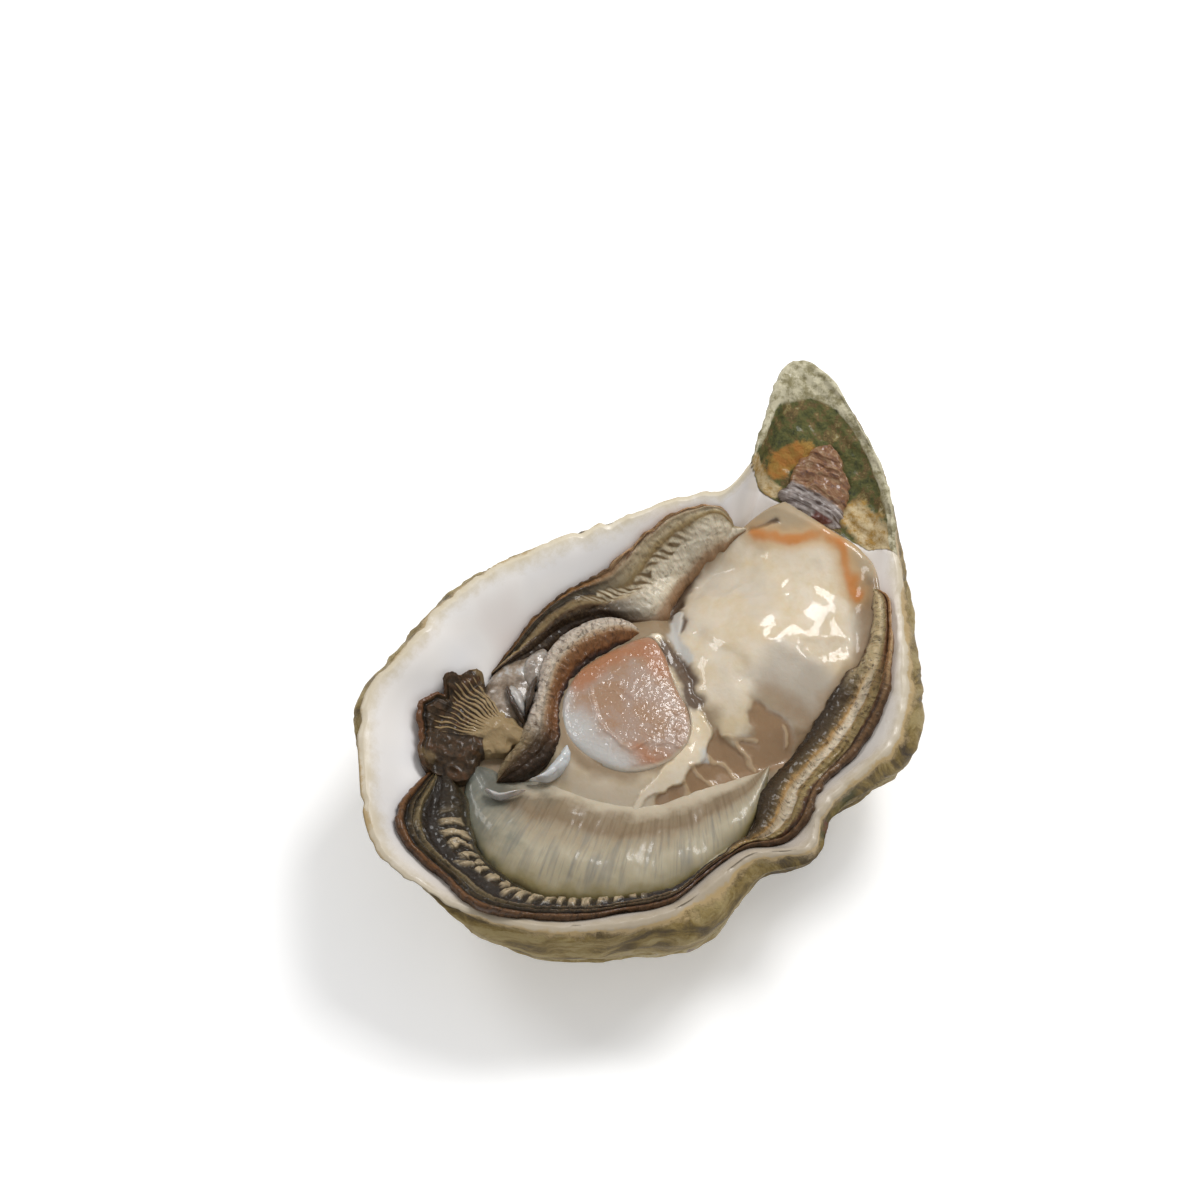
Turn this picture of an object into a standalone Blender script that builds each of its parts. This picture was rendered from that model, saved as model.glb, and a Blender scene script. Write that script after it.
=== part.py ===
"""Oyster on the half shell: a cupped lower shell with its beak and hinge, and the opened oyster lying in it.

Lengths below are millimetres and become metres when a mesh is made. +Y points from the cup to the hinge,
+Z is up, and the origin is on the flat spot that the shell rests on.
The shell is described round the +Z axis: at each angle from +X there is a radius and a height of the rim.
"""

import math

import bmesh
import bpy
import numpy as np

MM = 0.001
COLLECTION = "oyster_half_shell"

# Shell: the rim is seen from above as (angle in degrees, radius), with the beak's sideways hook taken out.
RIM = (
    (0, 27.6), (12, 30.2), (22, 34.0), (42, 37.0), (54, 39.8), (65, 44.6), (73, 52.0), (80, 58.3),
    (86, 56.6), (91, 50.5), (96, 39.0), (105, 34.6), (120, 30.4), (141, 28.2), (160, 29.2), (180, 31.6),
    (192, 33.0), (203, 36.4), (221, 38.0), (240, 39.8), (255, 37.4), (271, 34.2), (288, 31.0), (308, 28.2),
    (324, 25.4), (336, 25.2), (348, 29.0),
)
# The wall below the lip: (angle, how far its widest layer stands out past the lip). Less than 0 is an overhanging lip.
SKIRT = (
    (0, 0.5), (28, 1.2), (50, 0.6), (75, 0.2), (110, 0.2), (160, 0.4), (205, 0.0), (228, -1.4), (246, -1.8),
    (262, -0.4), (280, 0.4), (298, 0.3), (314, 2.2), (328, 1.2), (346, 0.4),
)
# How square the wall's section is: (angle, power). 2 is an ellipse, more has steeper walls.
WALL_POWER = (
    (0, 1.9), (30, 2.2), (60, 2.1), (83, 1.75), (110, 2.1), (160, 2.4), (215, 2.1), (240, 1.8), (262, 2.3),
    (285, 2.8), (310, 2.9), (328, 2.3), (345, 1.9),
)
RIM_HEIGHT = 22.0
RIM_TILT = 2.5  # the far rim stands this much above the middle height, the near rim as much below
RIM_HIGH_AT = 150.0
# Width of the lip, from the rim to the foot of its bevel: (angle, width).
LIP = ((0, 1.2), (45, 1.6), (85, 2.4), (115, 1.6), (150, 2.4), (200, 2.6), (240, 2.0), (275, 1.3), (320, 1.0))
LIP_DROP = 0.8
LIP_FOOT = (1.0, 0.8)  # inwards and down, from the lip to where the hollow begins
RIM_BEVEL = (0.8, 0.3)  # inwards and up
SHOULDER = 1.6  # from the rim down to the widest outer layer
CAVITY_FLOOR = 4.0
CAVITY_POWER = 2.1
REST_SINK = 0.5  # what the flat spot takes off the round underside
KEEL = (1.0, 4.0)  # where the underside is lowest
LAYERS = 6  # growth layers on the outside, each ending in an edge that stands proud
LAYER_EDGE = 0.7
LAYER_RISE = 0.85  # share of a layer's height that lies before its edge
LAYER_WAVE = 0.28

BEAK_AT = 83.0
BEAK_SPREAD = 15.0
BEAK_RISE = 4.0
BEAK_HOOK = 12.0  # sideways, at the beak's tip
BEAK_HOOK_FROM = 36.0
BEAK_HOOK_LENGTH = 22.0
HINGE_AT = 85.0  # the hinge line's direction from the axis, and its distance
HINGE_DISTANCE = 39.3
HINGE_HEIGHT = 19.6
HINGE_BLEND = 6.0  # over this distance the lip's foot turns into the hinge line
HINGE_SAG = 1.6  # how deep the hinge plate is hollowed

# Soft body: the base that the other organs lie on.
FLESH_GAP = 0.5
WALL_GAP = 0.9
BODY_LEVEL = 15.4
DOME_CENTRE = (9.0, 19.0)  # the thick part, beside the muscle
DOME_RADII = (14.0, 20.0)
DOME_TURN = -10.0
DOME_RISE = 5.2
BODY_EDGE = 0.955  # share of the way out to the lip or hinge that the body may take
BODY_EDGE_THICKNESS = 0.4
BODY_ROUNDING = 4  # degrees
HOOD_AT = 68.0  # seen from the muscle
HOOD_FROM, HOOD_TO = 24.0, 38.0  # from here to here the body climbs to the hinge
HOOD_RISE = 5.4
MUSCLE_CENTRE = (-2.2, 1.6)
MUSCLE_RADIUS = 8.9
MUSCLE_OVAL, MUSCLE_OVAL_AT = 0.035, 0.9
MUSCLE_TOP = 18.9
MUSCLE_CROWN = 1.0
POCKET_RADIUS = 9.9
POCKET_FLOOR = 9.6
POCKET_RIM = 1.5

# Bands of flesh, each a path of (x, y, half width, thickness).
GILLS = (
    (-15.0, -17.2, 1.0, 1.2), (-12.0, -18.2, 2.6, 1.8), (-8.6, -18.4, 4.6, 2.1), (-4.2, -18.2, 6.4, 2.2),
    (0.8, -17.0, 7.2, 2.3), (6.0, -14.4, 7.0, 2.3), (10.6, -10.8, 6.2, 2.2), (13.8, -7.0, 4.9, 2.0),
    (15.9, -3.4, 3.2, 1.8), (17.2, 0.2, 1.2, 1.2),
)
LOWER_MANTLE = (
    (-22.6, -18.9, 1.0, 1.4), (-21.0, -20.4, 2.6, 2.0), (-18.8, -22.6, 4.2, 2.2), (-16.8, -25.3, 5.0, 2.2),
    (-14.0, -27.6, 4.7, 2.1), (-10.3, -29.0, 4.0, 2.0), (-6.0, -30.2, 3.8, 2.0), (-1.2, -29.8, 3.1, 1.9),
    (3.8, -27.8, 2.5, 1.8), (8.7, -25.0, 1.8, 1.7), (12.6, -22.3, 1.5, 1.6), (15.3, -19.3, 1.2, 1.5),
    (16.8, -16.2, 0.6, 1.2),
)
RIGHT_MANTLE = (
    (18.8, 30.8, 0.6, 1.2), (21.4, 28.5, 1.5, 1.7), (23.0, 25.3, 1.8, 1.9), (23.8, 20.8, 3.1, 2.1),
    (24.3, 17.4, 3.6, 2.2), (24.5, 13.8, 3.8, 2.2), (23.7, 9.8, 3.2, 2.2), (22.8, 6.4, 2.9, 2.1),
    (22.5, 2.0, 3.3, 2.1), (22.5, -1.8, 3.3, 2.0), (21.8, -4.8, 2.0, 1.9), (20.6, -7.8, 1.2, 1.6),
    (18.8, -11.5, 0.9, 1.4), (17.7, -14.2, 0.5, 1.2),
)
UPPER_MANTLE = (
    (-1.4, 33.8, 0.8, 1.2), (-3.6, 31.6, 1.5, 1.6), (-6.4, 28.8, 2.7, 2.0), (-8.5, 24.4, 3.4, 2.1),
    (-10.6, 19.9, 3.4, 2.1), (-13.8, 16.0, 2.4, 2.0), (-16.6, 12.7, 1.8, 2.0), (-18.5, 8.8, 1.8, 1.9),
    (-19.8, 4.6, 1.6, 1.7), (-21.3, 0.6, 0.7, 1.3),
)
ROLLED_MANTLE = (
    (-6.2, 11.9, 0.9, 2.2), (-9.4, 12.1, 1.6, 3.4), (-12.2, 10.5, 1.8, 3.8), (-13.8, 7.6, 1.8, 3.8),
    (-14.3, 4.0, 1.7, 3.6), (-14.1, 0.0, 1.7, 3.2), (-13.4, -4.0, 1.8, 3.0), (-12.4, -8.0, 2.1, 2.8),
    (-11.4, -11.5, 2.1, 2.4), (-10.8, -13.6, 1.2, 1.8),
)
LIGAMENT = (
    (7.4, 38.9, 3.4, 1.4), (6.2, 41.6, 4.6, 1.9), (4.4, 45.0, 4.3, 2.0), (2.5, 48.4, 3.3, 1.8),
    (1.0, 51.0, 2.0, 1.3),
)

# The fan, a folded flap of mantle: (angle, radius) round its centre.
FAN_CENTRE = (-20.5, -10.0)
FAN_OUTLINE = (
    (12, 4.6), (40, 4.6), (70, 6.0), (111, 8.0), (135, 6.9), (160, 6.1), (189, 6.3), (221, 6.9), (245, 7.2),
    (262, 6.9), (299, 6.4), (334, 5.0),
)
FAN_THICKNESS = 2.4
FAN_EDGE_DROP = 0.6
FAN_PLEATS = 9
FAN_PLEAT_HEIGHT = 0.5

# Mesh densities: segments round a shape, rings or steps along it.
SHELL_AROUND, SHELL_STEPS = 72, (2 * LAYERS, 1, 1, 1, 3, 7)
SHELL_CROWDING = 24.0  # degrees that the spokes shift towards the beak
BODY_AROUND, BODY_STEPS = 48, (4, 1, 7, 1, 1)
BODY_CROWDING = 0.55
MUSCLE_AROUND, MUSCLE_STEPS = 24, (4, 2, 4)
FAN_AROUND, FAN_STEPS = 36, (4, 1, 4)
BAND_AROUND = 14

# Colours are linear (R, G, B), then roughness.
FINISHES = {
    "shell": ((0.50, 0.46, 0.36), 0.65),
    "hinge_ligament": ((0.13, 0.065, 0.045), 0.45),
    "visceral_mass": ((0.62, 0.52, 0.38), 0.25),
    "adductor_muscle": ((0.50, 0.33, 0.24), 0.25),
    "gills": ((0.50, 0.44, 0.32), 0.30),
    "lower_mantle": ((0.070, 0.042, 0.024), 0.30),
    "right_mantle": ((0.25, 0.17, 0.09), 0.30),
    "upper_mantle": ((0.22, 0.15, 0.09), 0.30),
    "rolled_mantle": ((0.12, 0.060, 0.030), 0.30),
    "mantle_fan": ((0.075, 0.045, 0.024), 0.30),
}


def hermite(keys_at, values, tangents, at):
    """A smooth curve's value at each point of `at`, from its keys and the slopes there."""
    before = np.clip(np.searchsorted(keys_at, at, side="right") - 1, 0, len(keys_at) - 2)
    span = keys_at[before + 1] - keys_at[before]
    t = (at - keys_at[before]) / span
    start, end = values[before], values[before + 1]
    leaving, arriving = tangents[before] * span, tangents[before + 1] * span
    return (
        (2 * t**3 - 3 * t**2 + 1) * start
        + (t**3 - 2 * t**2 + t) * leaving
        + (3 * t**2 - 2 * t**3) * end
        + (t**3 - t**2) * arriving
    )


def round_the_axis(keys, degrees):
    """Value at each angle on a closed smooth curve through (angle, value) keys."""
    at = np.array([angle for angle, _ in keys], float)
    values = np.array([value for _, value in keys], float)
    at = np.concatenate([at - 360, at, at + 360])
    values = np.tile(values, 3)
    return hermite(at, values, np.gradient(values, at), np.mod(degrees, 360.0))


def along_the_band(keys, share):
    """Rows of (x, y, half width, top) at each share of the way along a band."""
    rows = np.array(keys, float)
    reach = np.concatenate([[0.0], np.cumsum(np.hypot(*np.diff(rows[:, :2], axis=0).T))])
    at = np.asarray(share) * reach[-1]
    columns = [hermite(reach, column, np.gradient(column, reach), at) for column in rows.T]
    return np.stack(columns, axis=-1)


def bump(degrees, middle, spread):
    """1 at an angle, falling smoothly to 0 on both sides."""
    off = np.mod(degrees - middle + 180.0, 360.0) - 180.0
    return np.exp(-((off / spread) ** 2))


def cos_deg(degrees):
    return np.cos(np.radians(degrees))


def hook(y):
    """Sideways shift of the beak at a distance along the shell."""
    past = np.maximum(y - BEAK_HOOK_FROM, 0.0) / BEAK_HOOK_LENGTH
    return BEAK_HOOK * past**2


def rim_radius(degrees):
    return round_the_axis(RIM, degrees)


def rim_height(degrees):
    return RIM_HEIGHT + RIM_TILT * cos_deg(degrees - RIM_HIGH_AT) + BEAK_RISE * bump(degrees, BEAK_AT, BEAK_SPREAD)


def lip_width(degrees):
    return round_the_axis(LIP, degrees)


def cavity_edge(degrees):
    """(radius, height) of the edge where the cup's hollow begins: inside the lip, or at the hinge line."""
    inside_lip = rim_radius(degrees) - lip_width(degrees) - LIP_FOOT[0]
    hinge_line = HINGE_DISTANCE / np.maximum(cos_deg(degrees - HINGE_AT), 0.3)
    # The smaller of the two radii, with the corner between them rounded off.
    lip_share = np.clip(0.5 + (hinge_line - inside_lip) / HINGE_BLEND, 0.0, 1.0)
    rounding = HINGE_BLEND / 2 * lip_share * (1 - lip_share)
    radius = hinge_line + (inside_lip - hinge_line) * lip_share - rounding
    lip_foot = rim_height(degrees) - LIP_DROP - LIP_FOOT[1]
    return radius, HINGE_HEIGHT + (lip_foot - HINGE_HEIGHT) * lip_share


def cavity(x, y):
    """(height of the cup's inner surface, share of the way out to its edge) under a point."""
    straight = x + hook(y)
    edge, height = cavity_edge(np.degrees(np.arctan2(y, straight)))
    out = np.hypot(straight, y) / edge
    return CAVITY_FLOOR + (height - CAVITY_FLOOR) * out**CAVITY_POWER, out


def cavity_height(x, y):
    return cavity(x, y)[0]


def body_top(x, y):
    """Height of the soft body that the other organs lie on, outside the muscle's pocket."""
    turn = math.radians(DOME_TURN)
    dx, dy = x - DOME_CENTRE[0], y - DOME_CENTRE[1]
    across = (dx * math.cos(turn) + dy * math.sin(turn)) / DOME_RADII[0]
    along = (dy * math.cos(turn) - dx * math.sin(turn)) / DOME_RADII[1]
    inside = np.maximum(1 - across**2 - along**2, 0.0)
    climb = np.clip((y - HOOD_FROM) / (HOOD_TO - HOOD_FROM), 0.0, 1.0)
    return BODY_LEVEL + np.hypot(DOME_RISE * inside**1.2, HOOD_RISE * climb)


def support(x, y):
    """Height of what a band of flesh lies on."""
    return np.maximum(cavity_height(x, y) + WALL_GAP, body_top(x, y) + FLESH_GAP)


def stations(steps):
    """Share of the way, 0 to 1, and number, of the section that each ring of a profile lies in."""
    section = np.concatenate([np.full(count, i) for i, count in enumerate(steps)] + [[len(steps) - 1]])
    share = np.concatenate([np.arange(count) / count for count in steps] + [[1.0]])
    return section, share


def closed_form(name, around, rings, place):
    """An object made from a sphere: the point on ring r (0 to rings) at angle a goes to place(r, a)."""
    form = bmesh.new()
    bmesh.ops.create_uvsphere(form, u_segments=around, v_segments=rings, radius=1.0)
    points = np.array([vertex.co for vertex in form.verts])
    ring = np.rint((np.arcsin(np.clip(points[:, 2], -1, 1)) / math.pi + 0.5) * rings).astype(int)
    angle = np.arctan2(points[:, 1], points[:, 0])
    moved = place(ring, angle) * MM
    for vertex, position in zip(form.verts, moved):
        vertex.co = position
    mesh = bpy.data.meshes.new(name)
    form.to_mesh(mesh)
    form.free()
    mesh.shade_smooth()
    mesh.set_sharp_from_angle(angle=math.radians(50))
    obj = bpy.data.objects.new(name, mesh)
    mesh.materials.append(finish(name))
    bpy.data.collections[COLLECTION].objects.link(obj)
    return obj


def finish(name):
    colour, roughness = FINISHES[name]
    material = bpy.data.materials.new(name)
    material.use_nodes = True
    shader = material.node_tree.nodes["Principled BSDF"]
    shader.inputs["Base Color"].default_value = (*colour, 1.0)
    shader.inputs["Roughness"].default_value = roughness
    shader.inputs["Metallic"].default_value = 0.0
    material.diffuse_color = (*colour, 1.0)
    return material


def shell_wall(degrees, share, proud):
    """(radius, height, keel share) on the outside, from the flat spot (share 0) to the shoulder (share 1)."""
    turns = np.radians(degrees)
    wave = np.sin(3 * turns + 9 * share) + 0.5 * np.sin(7 * turns - 5 * share)
    share = share + LAYER_WAVE / LAYERS * wave * np.sin(math.pi * share)
    power = round_the_axis(WALL_POWER, degrees)
    outer = rim_radius(degrees) + round_the_axis(SKIRT, degrees)
    top = rim_height(degrees) - SHOULDER
    lean = share * math.pi / 2
    radius = outer * np.sin(lean) ** (2 / power) + proud * LAYER_EDGE * np.sin(lean)
    round_height = top * (1 - np.cos(lean) ** (2 / power))
    height = np.maximum(round_height - REST_SINK, 0.0) * top / (top - REST_SINK)
    return radius, height, np.clip(1 - height / top, 0, 1) ** 2


def make_shell():
    """One closed wall: layered underside, shoulder, lip, hinge plate and hollow, all along the same spokes."""
    sections, shares = stations(SHELL_STEPS)

    def place(ring, angle):
        # Spokes crowd together towards the beak, where the outline turns fastest.
        degrees = np.degrees(angle)
        degrees = degrees - SHELL_CROWDING * np.sin(np.radians(degrees - BEAK_AT))
        rim, top = rim_radius(degrees), rim_height(degrees)
        edge, edge_height = cavity_edge(degrees)
        section, share = sections[ring], shares[ring]

        # On the outside, two rings make a growth layer: its foot, then its edge.
        proud = np.where(section == 0, ring % 2, 0)
        wall_share = (ring // 2 + LAYER_RISE * proud) / LAYERS
        wall_radius, wall_height, keel = shell_wall(degrees, np.where(section == 0, wall_share, 1.0), proud)

        def between(start, end):
            return start + (end - start) * share

        lip_inner = rim - lip_width(degrees)
        plate = np.clip((lip_inner - edge - LIP_FOOT[0]) / HINGE_BLEND, 0, 1)
        sag = HINGE_SAG * np.sin(math.pi * share) * plate
        radius = np.select(
            [section == i for i in range(6)],
            [
                wall_radius,
                between(wall_radius, rim),
                between(rim, rim - RIM_BEVEL[0]),
                between(rim - RIM_BEVEL[0], lip_inner),
                between(lip_inner, edge),
                edge * (1 - share),
            ],
        )
        height = np.select(
            [section == i for i in range(6)],
            [
                wall_height,
                between(top - SHOULDER, top - RIM_BEVEL[1]),
                between(top - RIM_BEVEL[1], top),
                between(top, top - LIP_DROP),
                between(top - LIP_DROP, edge_height) - sag,
                CAVITY_FLOOR + (edge_height - CAVITY_FLOOR) * (1 - share) ** CAVITY_POWER,
            ],
        )
        below = np.where(section == 0, keel, 0.0)
        x = radius * cos_deg(degrees) + KEEL[0] * below
        y = radius * np.sin(np.radians(degrees)) + KEEL[1] * below
        return np.stack([x - hook(y), y, height], axis=-1)

    return closed_form("shell", SHELL_AROUND, sum(SHELL_STEPS), place)


def body_reach(angle):
    """How far the soft body reaches from the muscle's centre before the cup's wall cuts it off."""
    compass = np.radians(np.arange(360.0))
    reach = np.full(compass.shape, POCKET_RADIUS + POCKET_RIM)
    open_still = np.ones(compass.shape, bool)
    for distance in np.arange(POCKET_RADIUS + POCKET_RIM, HINGE_DISTANCE, 0.1):
        x = MUSCLE_CENTRE[0] + distance * np.cos(compass)
        y = MUSCLE_CENTRE[1] + distance * np.sin(compass)
        floor, out = cavity(x, y)
        open_still &= (body_top(x, y) > floor + WALL_GAP + BODY_EDGE_THICKNESS) & (out < BODY_EDGE)
        reach = np.where(open_still, distance, reach)
    # A mean of local least values never passes the wall, and rounds the corners off.
    nearby = range(-BODY_ROUNDING, BODY_ROUNDING + 1)
    least = np.min([np.roll(reach, shift) for shift in nearby], axis=0)
    rounded = np.mean([np.roll(least, shift) for shift in nearby], axis=0)
    return np.interp(np.degrees(angle) % 360.0, np.arange(361.0), np.append(rounded, rounded[0]))


def make_body():
    """The visceral mass: it fills the cup's floor, domes up near the hinge, and holds the muscle in a pocket."""
    sections, shares = stations(BODY_STEPS)

    def place(ring, angle):
        section, share = sections[ring], shares[ring]
        angle = angle - BODY_CROWDING * np.sin(angle - math.radians(HOOD_AT))
        reach = body_reach(angle)
        distance = np.select(
            [section == i for i in range(5)],
            [
                reach * share,
                reach,
                reach + (POCKET_RADIUS - reach) * share,
                np.full(share.shape, POCKET_RADIUS),
                POCKET_RADIUS * (1 - share),
            ],
        )
        x = MUSCLE_CENTRE[0] + distance * np.cos(angle)
        y = MUSCLE_CENTRE[1] + distance * np.sin(angle)
        floor = cavity_height(x, y) + WALL_GAP
        top = np.maximum(body_top(x, y), floor + BODY_EDGE_THICKNESS)
        height = np.select([section <= 1, section <= 3], [floor, top], POCKET_FLOOR)
        return np.stack([x, y, height], axis=-1)

    return closed_form("visceral_mass", BODY_AROUND, sum(BODY_STEPS), place)


def make_muscle():
    """The adductor: a short column with a slightly domed cut face."""
    sections, shares = stations(MUSCLE_STEPS)

    def place(ring, angle):
        section, share = sections[ring], shares[ring]
        size = MUSCLE_RADIUS * (1 + MUSCLE_OVAL * np.cos(2 * angle - MUSCLE_OVAL_AT))
        distance = size * np.select([section == i for i in range(3)], [share, 1.0, 1 - share])
        x = MUSCLE_CENTRE[0] + distance * np.cos(angle)
        y = MUSCLE_CENTRE[1] + distance * np.sin(angle)
        bottom = POCKET_FLOOR + FLESH_GAP
        top = MUSCLE_TOP - MUSCLE_CROWN * (distance / size) ** 4
        rise = np.select([section == i for i in range(3)], [0.0, share, 1.0])
        return np.stack([x, y, bottom + (top - bottom) * rise], axis=-1)

    return closed_form("adductor_muscle", MUSCLE_AROUND, sum(MUSCLE_STEPS), place)


def make_fan():
    """The folded flap of mantle, with pleats that spread from its inner end."""
    sections, shares = stations(FAN_STEPS)

    def place(ring, angle):
        section, share = sections[ring], shares[ring]
        size = round_the_axis(FAN_OUTLINE, np.degrees(angle))
        distance = size * np.select([section == i for i in range(3)], [share, 1.0, 1 - share])
        x = FAN_CENTRE[0] + distance * np.cos(angle)
        y = FAN_CENTRE[1] + distance * np.sin(angle)
        bottom = support(x, y)
        out = distance / size
        pleat = FAN_PLEAT_HEIGHT * np.sin(FAN_PLEATS * angle) * out * (1 - out**4)
        thickness = FAN_THICKNESS * (1 - FAN_EDGE_DROP * out**4) + pleat
        return np.stack([x, y, bottom + np.where(section == 2, thickness, 0.0)], axis=-1)

    return closed_form("mantle_fan", FAN_AROUND, sum(FAN_STEPS), place)


def make_band(name, keys, steps, folds, fold_height, ruffle=0.0, ruffles=0, lies_on=support):
    """A band of flesh along a path. Its top carries lengthwise folds, and its sides may ruffle."""

    def place(ring, angle):
        share = ring / steps
        x, y, half, thickness = along_the_band(keys, share).T
        ahead = along_the_band(keys, np.minimum(share + 0.01, 1.0))
        behind = along_the_band(keys, np.maximum(share - 0.01, 0.0))
        heading = ahead[:, :2] - behind[:, :2]
        heading /= np.linalg.norm(heading, axis=1, keepdims=True)
        blunt = np.sqrt(np.maximum(1 - np.abs(2 * share - 1) ** 7, 0.0))
        across = np.cos(angle)
        offset = half * blunt * across + ruffle * blunt * np.sin(2 * math.pi * ruffles * share)
        x = x - heading[:, 1] * offset
        y = y + heading[:, 0] * offset
        thickness = (thickness + fold_height * np.cos(2 * math.pi * folds * across)) * blunt
        lift = np.where(np.sin(angle) > 1e-6, np.abs(np.sin(angle)) ** 0.6, 0.0)
        return np.stack([x, y, lies_on(x, y) + thickness * lift], axis=-1)

    return closed_form(name, BAND_AROUND, steps, place)


def hinge_plate(x, y):
    """Height of the hinge plate that the ligament sits on, with a gap."""
    straight = x + hook(y)
    degrees = np.degrees(np.arctan2(y, straight))
    edge, edge_height = cavity_edge(degrees)
    lip_inner = rim_radius(degrees) - lip_width(degrees)
    share = np.clip((lip_inner - np.hypot(straight, y)) / (lip_inner - edge), 0, 1)
    lip_top = rim_height(degrees) - LIP_DROP
    return lip_top + (edge_height - lip_top) * share + FLESH_GAP


def main():
    for obj in list(bpy.data.objects):
        bpy.data.objects.remove(obj)
    collection = bpy.data.collections.new(COLLECTION)
    bpy.context.scene.collection.children.link(collection)

    make_shell()
    make_body()
    make_muscle()
    make_fan()
    make_band("gills", GILLS, 26, 0, 0.0)
    make_band("lower_mantle", LOWER_MANTLE, 38, 1.5, 0.4, ruffle=0.2, ruffles=8)
    make_band("right_mantle", RIGHT_MANTLE, 28, 1, 0.4)
    make_band("upper_mantle", UPPER_MANTLE, 24, 1, 0.35)
    make_band("rolled_mantle", ROLLED_MANTLE, 20, 0, 0.0)
    make_band("hinge_ligament", LIGAMENT, 10, 0, 0.0, lies_on=hinge_plate)


main()
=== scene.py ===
"""Looks of an oyster on the half shell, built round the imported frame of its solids.

Lengths are millimetres until a mesh is made. +Y points from the cup to the hinge, +Z is up,
and the origin is on the flat spot that the shell rests on.
"""

import logging
import math
from collections.abc import Callable
from dataclasses import dataclass, field
from enum import Enum

import bmesh
import bpy
import numpy as np
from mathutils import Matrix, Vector


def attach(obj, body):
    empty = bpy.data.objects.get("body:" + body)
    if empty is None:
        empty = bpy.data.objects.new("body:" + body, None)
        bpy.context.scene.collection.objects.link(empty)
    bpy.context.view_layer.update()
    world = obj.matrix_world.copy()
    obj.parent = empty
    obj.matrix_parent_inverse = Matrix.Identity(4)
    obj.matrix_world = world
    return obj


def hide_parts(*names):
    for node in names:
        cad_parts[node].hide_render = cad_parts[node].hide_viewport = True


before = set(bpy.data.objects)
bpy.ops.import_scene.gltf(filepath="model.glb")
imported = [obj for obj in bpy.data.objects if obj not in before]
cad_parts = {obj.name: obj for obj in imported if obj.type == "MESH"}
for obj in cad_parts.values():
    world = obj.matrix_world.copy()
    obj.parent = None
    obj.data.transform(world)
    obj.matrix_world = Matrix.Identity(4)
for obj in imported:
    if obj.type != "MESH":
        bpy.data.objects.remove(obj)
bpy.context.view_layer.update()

MM = 0.001
BODY = "root"

Array = np.ndarray
Keys = tuple[tuple[float, ...], ...]
Stops = tuple[tuple[float, str], ...]

log = logging.getLogger("oyster")


# Curves, noise and areas ---------------------------------------------------------------------------------


def hermite(keys_at: Array, values: Array, at: Array) -> Array:
    """A smooth curve through keys.

    Args:
        keys_at: Where the keys lie, rising.
        values: The value at each key.
        at: Where the curve is read.

    Returns:
        The value at each point of `at`.
    """
    slopes = np.gradient(values, keys_at)
    before = np.clip(np.searchsorted(keys_at, at, side="right") - 1, 0, len(keys_at) - 2)
    span = keys_at[before + 1] - keys_at[before]
    t = (at - keys_at[before]) / span
    leaving, arriving = slopes[before] * span, slopes[before + 1] * span
    return (
        (2 * t**3 - 3 * t**2 + 1) * values[before]
        + (t**3 - 2 * t**2 + t) * leaving
        + (3 * t**2 - 2 * t**3) * values[before + 1]
        + (t**3 - t**2) * arriving
    )


def round_the_axis(keys: Keys, degrees: Array) -> Array:
    """Value at each angle on a closed smooth curve.

    Args:
        keys: (angle in degrees, value) pairs.
        degrees: Where the curve is read.

    Returns:
        The value at each angle.
    """
    at = np.array([angle for angle, _ in keys], float)
    values = np.array([value for _, value in keys], float)
    at = np.concatenate([at - 360, at, at + 360])
    return hermite(at, np.tile(values, 3), np.mod(degrees, 360.0))


def cos_deg(degrees: Array) -> Array:
    """Cosine of an angle in degrees."""
    return np.cos(np.radians(degrees))


def bump(value: Array, middle: float, spread: float) -> Array:
    """1 at a middle value, falling smoothly to 0 on both sides."""
    return np.exp(-(((value - middle) / spread) ** 2))


def bump_round(degrees: Array, middle: float, spread: float) -> Array:
    """1 at an angle, falling smoothly to 0 on both sides."""
    return bump(np.mod(degrees - middle + 180.0, 360.0) - 180.0, 0.0, spread)


def ease(value: Array, low: float, high: float) -> Array:
    """0 below `low`, 1 above `high` and smooth between; the other way round if `low` is the larger."""
    t = np.clip((value - low) / (high - low), 0.0, 1.0)
    return t * t * (3 - 2 * t)


def smooth_max(one: Array, other: Array, blend: float) -> Array:
    """The larger of two heights, rounded over this difference where they meet."""
    share = np.clip(0.5 + (one - other) / (2 * blend), 0.0, 1.0)
    return other + (one - other) * share + blend * share * (1 - share)


class Grain:
    """Smooth noise through space, the same each time for one seed."""

    CELLS = 32

    def __init__(self, seed: int) -> None:
        """Draws the values at the corners of the noise's cells."""
        self.table = np.random.default_rng(seed).uniform(-1.0, 1.0, (self.CELLS,) * 3)

    def one(self, points: Array) -> Array:
        """Noise of unit cells at each point, from -1 to 1.

        Args:
            points: Places in millimetres, one to a row.

        Returns:
            The noise at each point.
        """
        low = np.floor(points).astype(int)
        t = points - low
        t = t * t * t * (t * (6 * t - 15) + 10)
        total = np.zeros(len(points))
        for corner in range(8):
            step = np.array([corner & 1, corner >> 1 & 1, corner >> 2])
            weight = np.prod(np.where(step, t, 1 - t), axis=1)
            i, j, k = ((low + step) % self.CELLS).T
            total += weight * self.table[i, j, k]
        return total

    def at(self, points: Array, size: float, octaves: int = 1) -> Array:
        """Noise whose largest cells are `size` across.

        Args:
            points: N rows of three coordinates.
            size: Size of the largest cells, in the points' own unit.
            octaves: How many times finer noise is added at half the size and strength.

        Returns:
            One value a point, mostly between -1 and 1.
        """
        total = np.zeros(len(points))
        for octave in range(octaves):
            total += self.one(points * (2**octave / size) + 7.3 * octave) / 2**octave
        return total


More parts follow.
